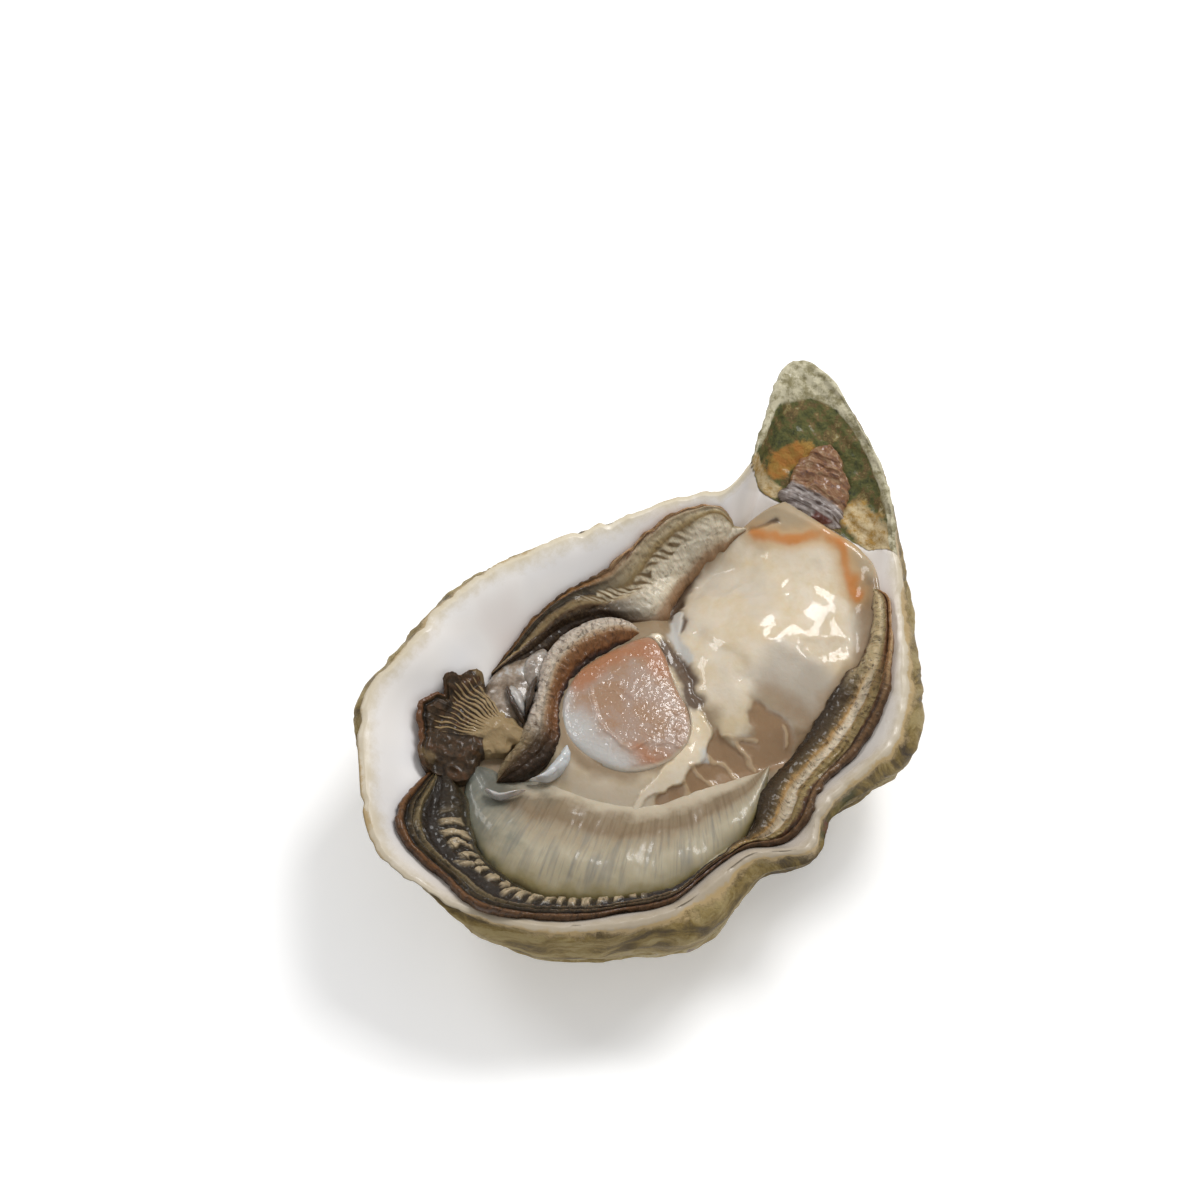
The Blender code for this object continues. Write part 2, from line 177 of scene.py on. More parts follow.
class Line:
    """A smooth line in plan, open or closed, used to lay a mark on the flesh or the shell."""

    PIECES = 8

    def __init__(self, keys: Keys, closed: bool = False) -> None:
        """Draws the line through its keys, each (x, y).

        Args:
            keys: Places that the line runs through, each (x, y) in millimetres.
            closed: Whether its end meets its start.
        """
        rows = np.array(keys, float)
        if closed:
            rows = np.vstack([rows[-2:], rows, rows[:3]])
        at = np.arange(len(rows), dtype=float)
        first, last = (2, len(rows) - 3) if closed else (0, len(rows) - 1)
        read = np.linspace(first, last, (last - first) * self.PIECES + 1)
        self.points = np.stack([hermite(at, column, read) for column in rows.T], axis=-1)

    def distance(self, x: Array, y: Array) -> Array:
        """Distance in plan from each point to the line.

        Args:
            x: Places to the right, in millimetres.
            y: Places towards the hinge, in millimetres.

        Returns:
            The distances, in millimetres.
        """
        nearest = np.full(x.shape, np.inf)
        for start, end in zip(self.points[:-1], self.points[1:]):
            step = end - start
            length = max(float(step @ step), 1e-9)
            t = np.clip(((x - start[0]) * step[0] + (y - start[1]) * step[1]) / length, 0.0, 1.0)
            gap = (x - start[0] - t * step[0]) ** 2 + (y - start[1] - t * step[1]) ** 2
            nearest = np.minimum(nearest, gap)
        return np.sqrt(nearest)

    def depth(self, x: Array, y: Array) -> Array:
        """Distance from a closed line, more than 0 inside it.

        Args:
            x: Places to the right, in millimetres.
            y: Places towards the hinge, in millimetres.

        Returns:
            The depths, in millimetres.
        """
        inside = np.zeros(x.shape, bool)
        for start, end in zip(self.points[:-1], self.points[1:]):
            crosses = (start[1] > y) != (end[1] > y)
            rise = end[1] - start[1]
            rise = rise if abs(rise) > 1e-9 else 1e-9
            inside ^= crosses & (x < start[0] + (y - start[1]) * (end[0] - start[0]) / rise)
        return np.where(inside, 1.0, -1.0) * self.distance(x, y)

    def near(self, x: Array, y: Array, reach: float) -> Array:
        """1 on the line, falling smoothly to 0 at `reach` from it."""
        return ease(self.distance(x, y), reach, 0.0)

    def within(self, x: Array, y: Array, soft: float) -> Array:
        """1 inside a closed line and 0 outside, with an edge `soft` wide."""
        return ease(self.depth(x, y), -soft / 2, soft / 2)


# Meshes --------------------------------------------------------------------------------------------------


@dataclass
class Skin:
    """A form's points in millimetres, and the marks that its relief and finish read."""

    points: Array
    marks: dict[str, Array]


Place = Callable[[Array, Array], Skin]
Relief = Callable[[Skin], Array]


def net(around: int, rings: int) -> bmesh.types.BMesh:
    """A closed net: a grid whose sides are joined, and whose two ends are each gathered into a pole.

    Args:
        around: Spokes from pole to pole.
        rings: Rows of faces from pole to pole.

    Returns:
        The net, in which x tells the spoke and y the ring.
    """
    form = bmesh.new()
    bmesh.ops.create_grid(form, x_segments=around, y_segments=rings, size=1.0)
    knots = {}
    for vertex in form.verts:
        spoke, ring = (round((value + 1) / 2 * count) for value, count in zip(vertex.co, (around, rings)))
        knots[spoke, ring] = vertex
    joined = {knots[around, ring]: knots[0, ring] for ring in range(1, rings)}
    for pole in (0, rings):
        joined |= {knots[spoke, pole]: knots[0, pole] for spoke in range(1, around + 1)}
    bmesh.ops.weld_verts(form, targetmap=joined)
    return form


def closed_form(
    name: str, around: int, rings: int, place: Place, relief: Relief | None = None
) -> bpy.types.Object:
    """A closed mesh whose rings and spokes are laid out by a form's own rule.

    Args:
        name: Name of the object.
        around: Spokes round the form.
        rings: Rings from one pole to the other.
        place: Gives the points and marks for each ring number and angle.
        relief: Gives how far each point then moves out along its normal, in millimetres.

    Returns:
        The object, with each mark as an attribute of its mesh.
    """
    form = net(around, rings)
    mesh = bpy.data.meshes.new(name)
    form.to_mesh(mesh)
    form.free()
    knots = np.zeros(len(mesh.vertices) * 3)
    mesh.vertices.foreach_get("co", knots)
    spoke, ring, _ = np.rint((knots.reshape(-1, 3).T + 1) / 2 * [[around], [rings], [1]]).astype(int)
    skin = place(ring, spoke / around * 2 * math.pi)
    set_points(mesh, skin.points)
    if relief:
        normals = np.zeros(len(mesh.vertices) * 3)
        mesh.vertices.foreach_get("normal", normals)
        skin.points = skin.points + normals.reshape(-1, 3) * relief(skin)[:, None]
        set_points(mesh, skin.points)
    for mark, values in skin.marks.items():
        write_mark(mesh, mark, values)
    mesh.shade_smooth()
    obj = bpy.data.objects.new(name, mesh)
    bpy.context.scene.collection.objects.link(obj)
    return obj


def set_points(mesh: bpy.types.Mesh, points: Array) -> None:
    """Moves a mesh's vertices to points in millimetres."""
    mesh.vertices.foreach_set("co", (points * MM).astype(np.float32).ravel())
    mesh.update()


def write_mark(mesh: bpy.types.Mesh, mark: str, values: Array) -> None:
    """Keeps a number or a vector for each vertex as an attribute.

    Args:
        mesh: The mesh.
        mark: Name of the attribute.
        values: One number or vector for each vertex.
    """
    if values.ndim == 1:
        attribute = mesh.attributes.new(mark, "FLOAT", "POINT")
        attribute.data.foreach_set("value", values.astype(np.float32))
    else:
        attribute = mesh.attributes.new(mark, "FLOAT_VECTOR", "POINT")
        attribute.data.foreach_set("vector", values.astype(np.float32).ravel())


def stations(steps: tuple[int, ...]) -> tuple[Array, Array]:
    """Which section of a profile each ring lies in, and how far along it.

    Args:
        steps: Rings in each section, from one pole to the other.

    Returns:
        The section's number and the share of the way along it, 0 to 1, for each ring.
    """
    section = np.concatenate([np.full(count, i) for i, count in enumerate(steps)] + [[len(steps) - 1]])
    share = np.concatenate([np.arange(count) / count for count in steps] + [[1.0]])
    return section, share


def mostly_on_top(angle: Array, share: float) -> Array:
    """Angles round a band's section, shifted so that this share of them lies on its upper side.

    Args:
        angle: Angles round the form, in radians.
        share: Share of the whole, 0 to 1.

    Returns:
        The shifted angles.
    """
    turn = np.mod(angle, 2 * math.pi) / (2 * math.pi)
    upper = math.pi * turn / share
    lower = math.pi + math.pi * (turn - share) / (1 - share)
    return np.where(turn < share, upper, lower)


# Materials -----------------------------------------------------------------------------------------------


class Kind(Enum):
    """Shader nodes: the type, the output that is read, and what is always set."""

    PLACE = ("ShaderNodeTexCoord", "Object", {})
    MARK = ("ShaderNodeAttribute", "Fac", {})
    FLOW = ("ShaderNodeAttribute", "Vector", {"attribute_name": "flow"})
    STRETCH = ("ShaderNodeVectorMath", "Vector", {"operation": "MULTIPLY"})
    NOISE = ("ShaderNodeTexNoise", 0, {"Detail": 3.0})
    STEP = ("ShaderNodeMapRange", "Result", {"interpolation_type": "SMOOTHSTEP"})
    SUM = ("ShaderNodeMath", 0, {"operation": "ADD"})
    PRODUCT = ("ShaderNodeMath", 0, {"operation": "MULTIPLY"})
    SUM_OF_PRODUCT = ("ShaderNodeMath", 0, {"operation": "MULTIPLY_ADD"})
    GREATER = ("ShaderNodeMath", 0, {"operation": "MAXIMUM"})
    RAMP = ("ShaderNodeValToRGB", "Color", {})
    LAYER = ("ShaderNodeMix", 2, {"data_type": "RGBA"})
    LEVEL = ("ShaderNodeMix", 0, {"data_type": "FLOAT"})
    RELIEF = ("ShaderNodeBump", "Normal", {"Strength": 1.0})
    SURFACE = ("ShaderNodeBsdfPrincipled", "BSDF", {})
    OUTPUT = ("ShaderNodeOutputMaterial", None, {})


# Inputs of a layer of colour and of a level, by number, since their names repeat.
SHARE, UNDER, OVER = 0, 6, 7
LOW, HIGH = 2, 3


def linear(hex_colour: str) -> tuple[float, float, float, float]:
    """Linear RGBA of an sRGB hex colour such as "E8E2DA"."""
    parts = [int(hex_colour[i : i + 2], 16) / 255 for i in (0, 2, 4)]
    red, green, blue = (c / 12.92 if c <= 0.04045 else ((c + 0.055) / 1.055) ** 2.4 for c in parts)
    return red, green, blue, 1.0


def per_mm(size: float) -> float:
    """Scale, per metre, of a pattern whose cells are `size` millimetres."""
    return 1.0 / (size * MM)


class Paint:
    """The node tree of one material."""

    def __init__(self, name: str) -> None:
        """Starts an empty material.

        Args:
            name: Its name.
        """
        self.material = bpy.data.materials.new(name)
        self.material.use_nodes = True
        self.tree = self.material.node_tree
        self.tree.nodes.clear()
        self.place = self.add(Kind.PLACE)

    def add(self, kind: Kind, values: dict | None = None) -> bpy.types.NodeSocket | None:
        """Adds a node.

        Args:
            kind: What the node does.
            values: By input name, input number or property name: a number, a hex colour or a socket
                to link. "stops" fills a colour ramp with (position, hex colour) pairs.

        Returns:
            The output that is read from a node of this kind.
        """
        node_type, output, always = kind.value
        node = self.tree.nodes.new(node_type)
        for key, value in {**always, **(values or {})}.items():
            is_input = isinstance(key, int) or key in node.inputs
            if key == "stops":
                for _ in value[2:]:
                    node.color_ramp.elements.new(1.0)
                for element, (position, colour) in zip(node.color_ramp.elements, value):
                    element.position = position
                    element.color = linear(colour)
            elif isinstance(value, bpy.types.NodeSocket):
                self.tree.links.new(value, node.inputs[key])
            elif is_input:
                is_colour = isinstance(value, str)
                node.inputs[key].default_value = linear(value) if is_colour else value
            else:
                setattr(node, key, value)
        return None if output is None else node.outputs[output]

    def flow(self, along: float, across: float) -> bpy.types.NodeSocket:
        """Place on a band, in cells of this many millimetres along it and across it."""
        return self.add(Kind.STRETCH, {0: self.add(Kind.FLOW), 1: (1 / along, 1 / across, 1.0)})

    def finish(self, values: dict) -> bpy.types.Material:
        """Ends the material in one surface shader with these values and sockets."""
        surface = self.add(Kind.SURFACE, values)
        self.add(Kind.OUTPUT, {"Surface": surface})
        return self.material


@dataclass(frozen=True)
class Nacre:
    """Shell of an oyster: porcelain-like nacre inside, weathered chalky calcite outside.

    The nacre is a smooth warm white with soft highlights. The outside is dull, in streaks along the growth
    lines, greener in its hollows and paler on its crests. On the near, lower right side the rim and the nacre
    next to it are painted darker, as shade.
    """

    white: str = "F6F2EE"
    blush: str = "EFE5DF"
    cool: str = "ECEBEC"
    rim_tan: str = "CFC3AA"
    rim_line: str = "A88F62"
    # Painted shade: the rim and the nacre near it are darker on the near, lower right side.
    soil: str = "A3957F"
    shaded: str = "B3A796"
    crest: str = "C8B994"
    chalk: str = "9E8A54"
    drab: str = "80692F"
    olive: str = "5A481E"
    brown: str = "3C2E1B"
    moss: str = "52552A"
    lilac: str = "8A7D7C"
    rust: str = "66402A"
    plate_moss: str = "4C4F22"
    plate_brown: str = "6E5630"
    plate_chalk: str = "D2CAAC"
    ochre: str = "AC8438"
    horn: str = "D6C196"
    orange: str = "B0742C"
    nacre_roughness: float = 0.2
    chalk_roughness: float = 0.75

    def outside(self, paint: Paint) -> bpy.types.NodeSocket:
        """Colour of the weathered outside.

        Args:
            paint: The material so far.

        Returns:
            The colour.
        """
        growth = paint.add(Kind.MARK, {"attribute_name": "growth"})
        hollow = paint.add(Kind.MARK, {"attribute_name": "hollow"})
        near_rim = paint.add(Kind.MARK, {"attribute_name": "from_rim"})
        drift = paint.add(Kind.NOISE, {"Vector": paint.place, "Scale": per_mm(6.0)})
        finer = paint.add(Kind.PRODUCT, {0: growth, 1: 1.7})
        lines_at = paint.add(Kind.SUM_OF_PRODUCT, {0: drift, 1: 1.6, 2: finer})
        fine_at = paint.add(Kind.STRETCH, {0: paint.place, 1: (per_mm(11.0),) * 3})
        streaks = paint.add(
            Kind.NOISE,
            {"noise_dimensions": "4D", "Vector": fine_at, "W": lines_at, "Scale": 1.0, "Detail": 5.0,
             "Roughness": 0.68},
        )
        streaks = paint.add(Kind.SUM_OF_PRODUCT, {0: hollow, 1: 0.1, 2: streaks})
        colour = paint.add(
            Kind.RAMP,
            {
                0: streaks,
                "stops": (
                    (0.26, self.brown), (0.36, self.olive), (0.45, self.drab), (0.53, self.chalk),
                    (0.6, self.crest), (0.66, self.lilac), (0.74, self.chalk),
                ),
            },
        )
        near_rim = paint.add(Kind.SUM_OF_PRODUCT, {0: drift, 1: 6.0, 2: near_rim})
        under_rim = paint.add(Kind.STEP,
            {"Value": near_rim, "From Min": -10.0, "From Max": -1.5, "To Max": 0.9})
        dark_at = paint.add(
            Kind.RAMP,
            {0: streaks, "stops": ((0.36, self.brown), (0.46, self.olive), (0.54, self.drab),
                (0.63, self.chalk))},
        )
        colour = paint.add(Kind.LAYER, {SHARE: under_rim, UNDER: colour, OVER: dark_at})
        patches = paint.add(Kind.NOISE,
            {"Vector": paint.place, "Scale": per_mm(9.0), "Detail": 6.0, "Roughness": 0.6})
        mossy = paint.add(Kind.SUM_OF_PRODUCT, {0: hollow, 1: -0.1, 2: patches})
        mossy = paint.add(Kind.STEP, {"Value": mossy, "From Min": 0.54, "From Max": 0.7, "To Max": 0.6})
        colour = paint.add(Kind.LAYER, {SHARE: mossy, UNDER: colour, OVER: self.moss})
        spots = paint.add(Kind.NOISE, {"Vector": paint.place, "Scale": per_mm(5.0), "Detail": 6.0,
            "Roughness": 0.75})
        spots = paint.add(Kind.STEP, {"Value": spots, "From Min": 0.64, "From Max": 0.69})
        return paint.add(Kind.LAYER, {SHARE: spots, UNDER: colour, OVER: self.rust})

    def plate(self, paint: Paint) -> bpy.types.NodeSocket:
        """Colour of the mossy hinge plate: chalky crest, ochre horn by the hinge line, orange stain.

        Args:
            paint: The material so far.

        Returns:
            The colour.
        """
        moss = paint.add(Kind.NOISE, {"Vector": paint.place, "Scale": per_mm(1.9), "Detail": 8.0,
            "Roughness": 0.72})
        colour = paint.add(
            Kind.RAMP,
            {
                0: moss,
                "stops": (
                    (0.32, "2A2C12"), (0.41, self.plate_moss), (0.49, "62622C"), (0.55, self.plate_brown),
                    (0.62, "8F8049"), (0.7, self.plate_chalk),
                ),
            },
        )
        for mark, pale, deep in (
            ("orange", self.ochre, self.orange),
            ("ochre", self.horn, self.ochre),
            ("crest", self.plate_chalk, "8F8660"),
        ):
            level = paint.add(Kind.MARK, {"attribute_name": mark})
            level = paint.add(Kind.SUM_OF_PRODUCT, {0: moss, 1: 1.1, 2: level})
            level = paint.add(Kind.STEP, {"Value": level, "From Min": 0.85, "From Max": 1.2})
            turned = paint.add(Kind.STEP, {"Value": moss, "From Min": 0.42, "From Max": 0.62})
            over = paint.add(Kind.LAYER, {SHARE: turned, UNDER: pale, OVER: deep})
            colour = paint.add(Kind.LAYER, {SHARE: level, UNDER: colour, OVER: over})
        return colour

    def material(self) -> bpy.types.Material:
        """The shell's material.

        Returns:
            The finished material.
        """
        paint = Paint("oyster_shell_nacre_and_calcite")
        from_rim = paint.add(Kind.MARK, {"attribute_name": "from_rim"})
        plate = paint.add(Kind.MARK, {"attribute_name": "plate"})
        broad = paint.add(Kind.NOISE, {"Vector": paint.place, "Scale": per_mm(16.0), "Detail": 2.0})
        nacre = paint.add(
            Kind.RAMP, {0: broad, "stops": ((0.35, self.blush), (0.5, self.white), (0.68, self.cool))}
        )
        # Painted shade: near the rim on the near, lower right side the nacre is blended towards the shaded
        # colour.
        soil = paint.add(Kind.MARK, {"attribute_name": "soil"})
        nacre_shade = paint.add(Kind.STEP, {"Value": from_rim, "From Min": 8.5, "From Max": 1.5, "To Max": 0.85})
        nacre_shade = paint.add(Kind.PRODUCT, {0: nacre_shade, 1: soil})
        nacre = paint.add(Kind.LAYER, {SHARE: nacre_shade, UNDER: nacre, OVER: self.shaded})
        ragged = paint.add(Kind.NOISE, {"Vector": paint.place, "Scale": per_mm(2.4), "Detail": 6.0,
            "Roughness": 0.72})
        edge_at = paint.add(Kind.SUM_OF_PRODUCT, {0: ragged, 1: -3.2, 2: from_rim})
        edge_at = paint.add(Kind.SUM_OF_PRODUCT, {0: broad, 1: -2.2, 2: edge_at})
        rim = paint.add(Kind.STEP, {"Value": edge_at, "From Min": 0.2, "From Max": -2.2})
        # Painted shade: the rim is darker on that same side.
        darkened = paint.add(Kind.LAYER, {SHARE: soil, UNDER: self.rim_tan, OVER: self.soil})
        colour = paint.add(Kind.LAYER, {SHARE: rim, UNDER: nacre, OVER: darkened})
        line = paint.add(Kind.STEP, {"Value": edge_at, "From Min": -2.3, "From Max": -3.1})
        colour = paint.add(Kind.LAYER, {SHARE: line, UNDER: colour, OVER: self.rim_line})
        outside = paint.add(Kind.STEP, {"Value": edge_at, "From Min": -3.3, "From Max": -4.1})
        colour = paint.add(Kind.LAYER, {SHARE: outside, UNDER: colour, OVER: self.outside(paint)})
        ragged_plate = paint.add(Kind.SUM_OF_PRODUCT, {0: ragged, 1: 1.2, 2: plate})
        plate = paint.add(Kind.STEP, {"Value": ragged_plate, "From Min": 0.9, "From Max": 1.2})
        colour = paint.add(Kind.LAYER, {SHARE: plate, UNDER: colour, OVER: self.plate(paint)})
        rough = paint.add(Kind.GREATER, {0: outside, 1: plate})
        dull = paint.add(Kind.GREATER, {0: rough, 1: paint.add(Kind.PRODUCT, {0: rim, 1: 0.6})})
        grit = paint.add(Kind.NOISE, {"Vector": paint.place, "Scale": per_mm(0.8), "Detail": 7.0,
            "Roughness": 0.72})
        grit = paint.add(Kind.PRODUCT, {0: grit, 1: rough})
        normal = paint.add(Kind.RELIEF, {"Height": grit, "Distance": 0.5 * MM})
        return paint.finish(
            {
                "Base Color": colour,
                "Roughness": paint.add(
                    Kind.LEVEL, {SHARE: dull, LOW: self.nacre_roughness, HIGH: self.chalk_roughness}
                ),
                "IOR": 1.53,
                "Normal": normal,
                "Coat Weight": 0.15,
                "Coat Roughness": 0.1,
            }
        )


@dataclass(frozen=True)
class WetFlesh:
    """Raw flesh under a film of liquor: light goes a little way in, and the film gives sharp glints."""

    roughness: float = 0.38
    gloss: float = 0.5
    depth: float = 0.7
    through: float = 0.2
    film: float = 1.0
    film_roughness: float = 0.06
    ripple_size: float = 1.3
    ripple: float = 0.10

    def coat(
        self, paint: Paint, colour: bpy.types.NodeSocket, under: bpy.types.NodeSocket | None = None
    ) -> bpy.types.Material:
        """Ends a material as wet flesh.

        Args:
            paint: The material so far.
            colour: The flesh's colour.
            under: Fine relief of the flesh under the film, if it has any.

        Returns:
            The finished material.
        """
        ripples = paint.add(Kind.NOISE,
            {"Vector": paint.place, "Scale": per_mm(self.ripple_size), "Detail": 1.5})
        film = paint.add(Kind.RELIEF, {"Height": ripples, "Distance": self.ripple * MM})
        values = {
            "Base Color": colour,
            "Roughness": self.roughness,
            "Specular IOR Level": self.gloss,
            "IOR": 1.38,
            "Subsurface Weight": self.through,
            "Subsurface Radius": (1.0, 0.55, 0.35),
            "Subsurface Scale": self.depth * MM,
            "Coat Weight": self.film,
            "Coat Roughness": self.film_roughness,
            "Coat IOR": 1.36,
            "Coat Normal": film,
        }
        if under is not None:
            values["Normal"] = under
        return paint.finish(values)


@dataclass(frozen=True)
class MantleFinish:
    """Mantle edge: dark pigment in bands along it, with paler papillae and a fine fringe across it."""

    name: str
    start: Stops
    end: Stops
    tooth: str = "A8916F"
    tooth_gap: str = "3A2D20"
    mottle: str = "4A3826"
    fringe: float = 0.55
    speckle: float = 0.5
    wear: float = 0.5
    turn: tuple[float, float] = (0.35, 0.65)
    flesh: WetFlesh = WetFlesh(gloss=0.2, film=0.35, film_roughness=0.1, ripple_size=2.4, ripple=0.12)

    def material(self) -> bpy.types.Material:
        """The band's material.

        Returns:
            The finished material.
        """
        paint = Paint(self.name)
        across = paint.add(Kind.MARK, {"attribute_name": "across"})
        share = paint.add(Kind.MARK, {"attribute_name": "share"})
        teeth = paint.add(Kind.MARK, {"attribute_name": "teeth"})
        tooth_row = paint.add(Kind.MARK, {"attribute_name": "tooth_row"})
        wander = paint.add(
            Kind.NOISE, {"Vector": paint.flow(2.6, 0.7), "Scale": 1.0, "Detail": 5.0, "Roughness": 0.65}
        )
        wander = paint.add(Kind.SUM, {0: wander, 1: -0.5})
        read_at = paint.add(Kind.SUM_OF_PRODUCT, {0: wander, 1: 0.14, 2: across})
        first = paint.add(Kind.RAMP, {0: read_at, "stops": self.start})
        last = paint.add(Kind.RAMP, {0: read_at, "stops": self.end})
        turned = paint.add(Kind.STEP, {"Value": share, "From Min": self.turn[0], "From Max": self.turn[1]})
        colour = paint.add(Kind.LAYER, {SHARE: turned, UNDER: first, OVER: last})
        stripes = paint.add(Kind.NOISE, {"Vector": paint.flow(0.28, 2.0), "Scale": 1.0, "Detail": 3.0})
        darkened = paint.add(Kind.STEP, {"Value": stripes, "From Min": 0.4, "From Max": 0.62,
            "To Max": self.wear})
        tooth = paint.add(Kind.LAYER, {SHARE: darkened, UNDER: self.tooth, OVER: self.tooth_gap})
        comb = paint.add(Kind.LAYER, {SHARE: teeth, UNDER: self.tooth_gap, OVER: tooth})
        colour = paint.add(Kind.LAYER, {SHARE: tooth_row, UNDER: colour, OVER: comb})
        fringe = paint.add(
            Kind.NOISE, {"Vector": paint.flow(0.4, 1.5), "Scale": 1.0, "Detail": 5.0, "Roughness": 0.7}
        )
        dark = paint.add(Kind.STEP, {"Value": fringe, "From Min": 0.5, "From Max": 0.64,
            "To Max": self.fringe})
        colour = paint.add(Kind.LAYER, {SHARE: dark, UNDER: colour, OVER: self.mottle})
        cloud = paint.add(
            Kind.NOISE, {"Vector": paint.place, "Scale": per_mm(1.0), "Detail": 6.0, "Roughness": 0.75}
        )
        spots = paint.add(Kind.STEP, {"Value": cloud, "From Min": 0.52, "From Max": 0.66,
            "To Max": self.speckle})
        colour = paint.add(Kind.LAYER, {SHARE: spots, UNDER: colour, OVER: self.mottle})
        fine = paint.add(Kind.RELIEF, {"Height": fringe, "Distance": 0.16 * MM})
        return self.flesh.coat(paint, colour, fine)


@dataclass(frozen=True)
class BodyFinish:
    """Visceral mass: milky cream where it is full, glassy grey or tan where it is thin, under a wet film."""

    cream: str = "D0C3AE"
    cream_warm: str = "C8B696"
    cream_cool: str = "BFB5A6"
    thin: str = "8E7A60"
    glassy: str = "A89E90"
    brown: str = "8E7353"
    window: str = "8F7253"
    thread: str = "B39C7C"
    palp: str = "B8722C"
    palp_glow: str = "C09A6A"
    hood: str = "AC9A7E"
    dusk: str = "54402F"
    frost: str = "BCBBB7"
    flesh: WetFlesh = WetFlesh(
        roughness=0.4, gloss=0.4, depth=1.2, through=0.3, film=0.85, film_roughness=0.05,
        ripple_size=11.0, ripple=0.5
    )

    def material(self) -> bpy.types.Material:
        """The visceral mass's material.

        Returns:
            The finished material.
        """
        paint = Paint("raw_oyster_body")
        cloud = paint.add(Kind.NOISE, {"Vector": paint.place, "Scale": per_mm(4.0), "Detail": 5.0,
            "Roughness": 0.6})
        broad = paint.add(Kind.NOISE, {"Vector": paint.place, "Scale": per_mm(11.0), "Detail": 3.0})
        full = paint.add(Kind.RAMP, {0: cloud, "stops": ((0.35, self.cream_warm), (0.6, self.cream))})
        cooler = paint.add(Kind.STEP, {"Value": broad, "From Min": 0.5, "From Max": 0.68, "To Max": 0.7})
        full = paint.add(Kind.LAYER, {SHARE: cooler, UNDER: full, OVER: self.cream_cool})
        cream = paint.add(Kind.MARK, {"attribute_name": "cream"})
        colour = paint.add(Kind.LAYER, {SHARE: cream, UNDER: self.thin, OVER: full})
        for mark, over, share, full_at in (
            ("hood", self.hood, 0.85, 1.2),
            ("glassy", self.glassy, 0.9, 1.25),
            ("brown", self.brown, 0.8, 1.25),
            ("dusk", self.dusk, 0.95, 1.05),
            ("frost", self.frost, 0.8, 1.1),
            ("window", self.window, 0.95, 1.05),
            ("thread", self.thread, 0.7, 1.05),
            ("palp_glow", self.palp_glow, 0.6, 1.25),
            ("palp", self.palp, 0.85, 1.3),
        ):
            level = paint.add(Kind.MARK, {"attribute_name": mark})
            level = paint.add(Kind.SUM_OF_PRODUCT, {0: cloud, 1: 0.5, 2: level})
            level = paint.add(Kind.STEP, {"Value": level, "From Min": 0.35, "From Max": full_at,
                "To Max": share})
            colour = paint.add(Kind.LAYER, {SHARE: level, UNDER: colour, OVER: over})
        fine = paint.add(Kind.NOISE, {"Vector": paint.place, "Scale": per_mm(1.6), "Detail": 4.0})
        return self.flesh.coat(paint, colour, paint.add(Kind.RELIEF, {"Height": fine, "Distance": 0.1 * MM}))


@dataclass(frozen=True)
class MuscleFinish:
    """Adductor muscle: pinkish, half clear meat, with a milky white part at one side."""

    pink: str = "A08878"
    tan: str = "9C7C62"
    orange: str = "A06A45"
    milky: str = "B6B4B0"
    edge: str = "C4B6A0"
    flesh: WetFlesh = WetFlesh(
        roughness=0.35, gloss=0.4, depth=1.5, through=0.35, film_roughness=0.05, ripple_size=0.8, ripple=0.22
    )

    def material(self) -> bpy.types.Material:
        """The muscle's material.

        Returns:
            The finished material.
        """
        paint = Paint("raw_oyster_muscle")
        cloud = paint.add(Kind.NOISE, {"Vector": paint.place, "Scale": per_mm(3.5), "Detail": 5.0,
            "Roughness": 0.6})
        colour = paint.add(Kind.RAMP, {0: cloud, "stops": ((0.42, self.tan), (0.56, self.pink))})
        for mark, over, share in (("warm", self.orange, 0.85), ("milky", self.milky, 0.95),
            ("pale_edge", self.edge, 0.8)):
            level = paint.add(Kind.MARK, {"attribute_name": mark})
            level = paint.add(Kind.SUM_OF_PRODUCT, {0: cloud, 1: 0.6, 2: level})
            level = paint.add(Kind.STEP, {"Value": level, "From Min": 0.3, "From Max": 1.35, "To Max": share})
            colour = paint.add(Kind.LAYER, {SHARE: level, UNDER: colour, OVER: over})
        grain = paint.add(Kind.NOISE, {"Vector": paint.place, "Scale": per_mm(0.5), "Detail": 3.0})
        return self.flesh.coat(paint, colour,
            paint.add(Kind.RELIEF, {"Height": grain, "Distance": 0.05 * MM}))


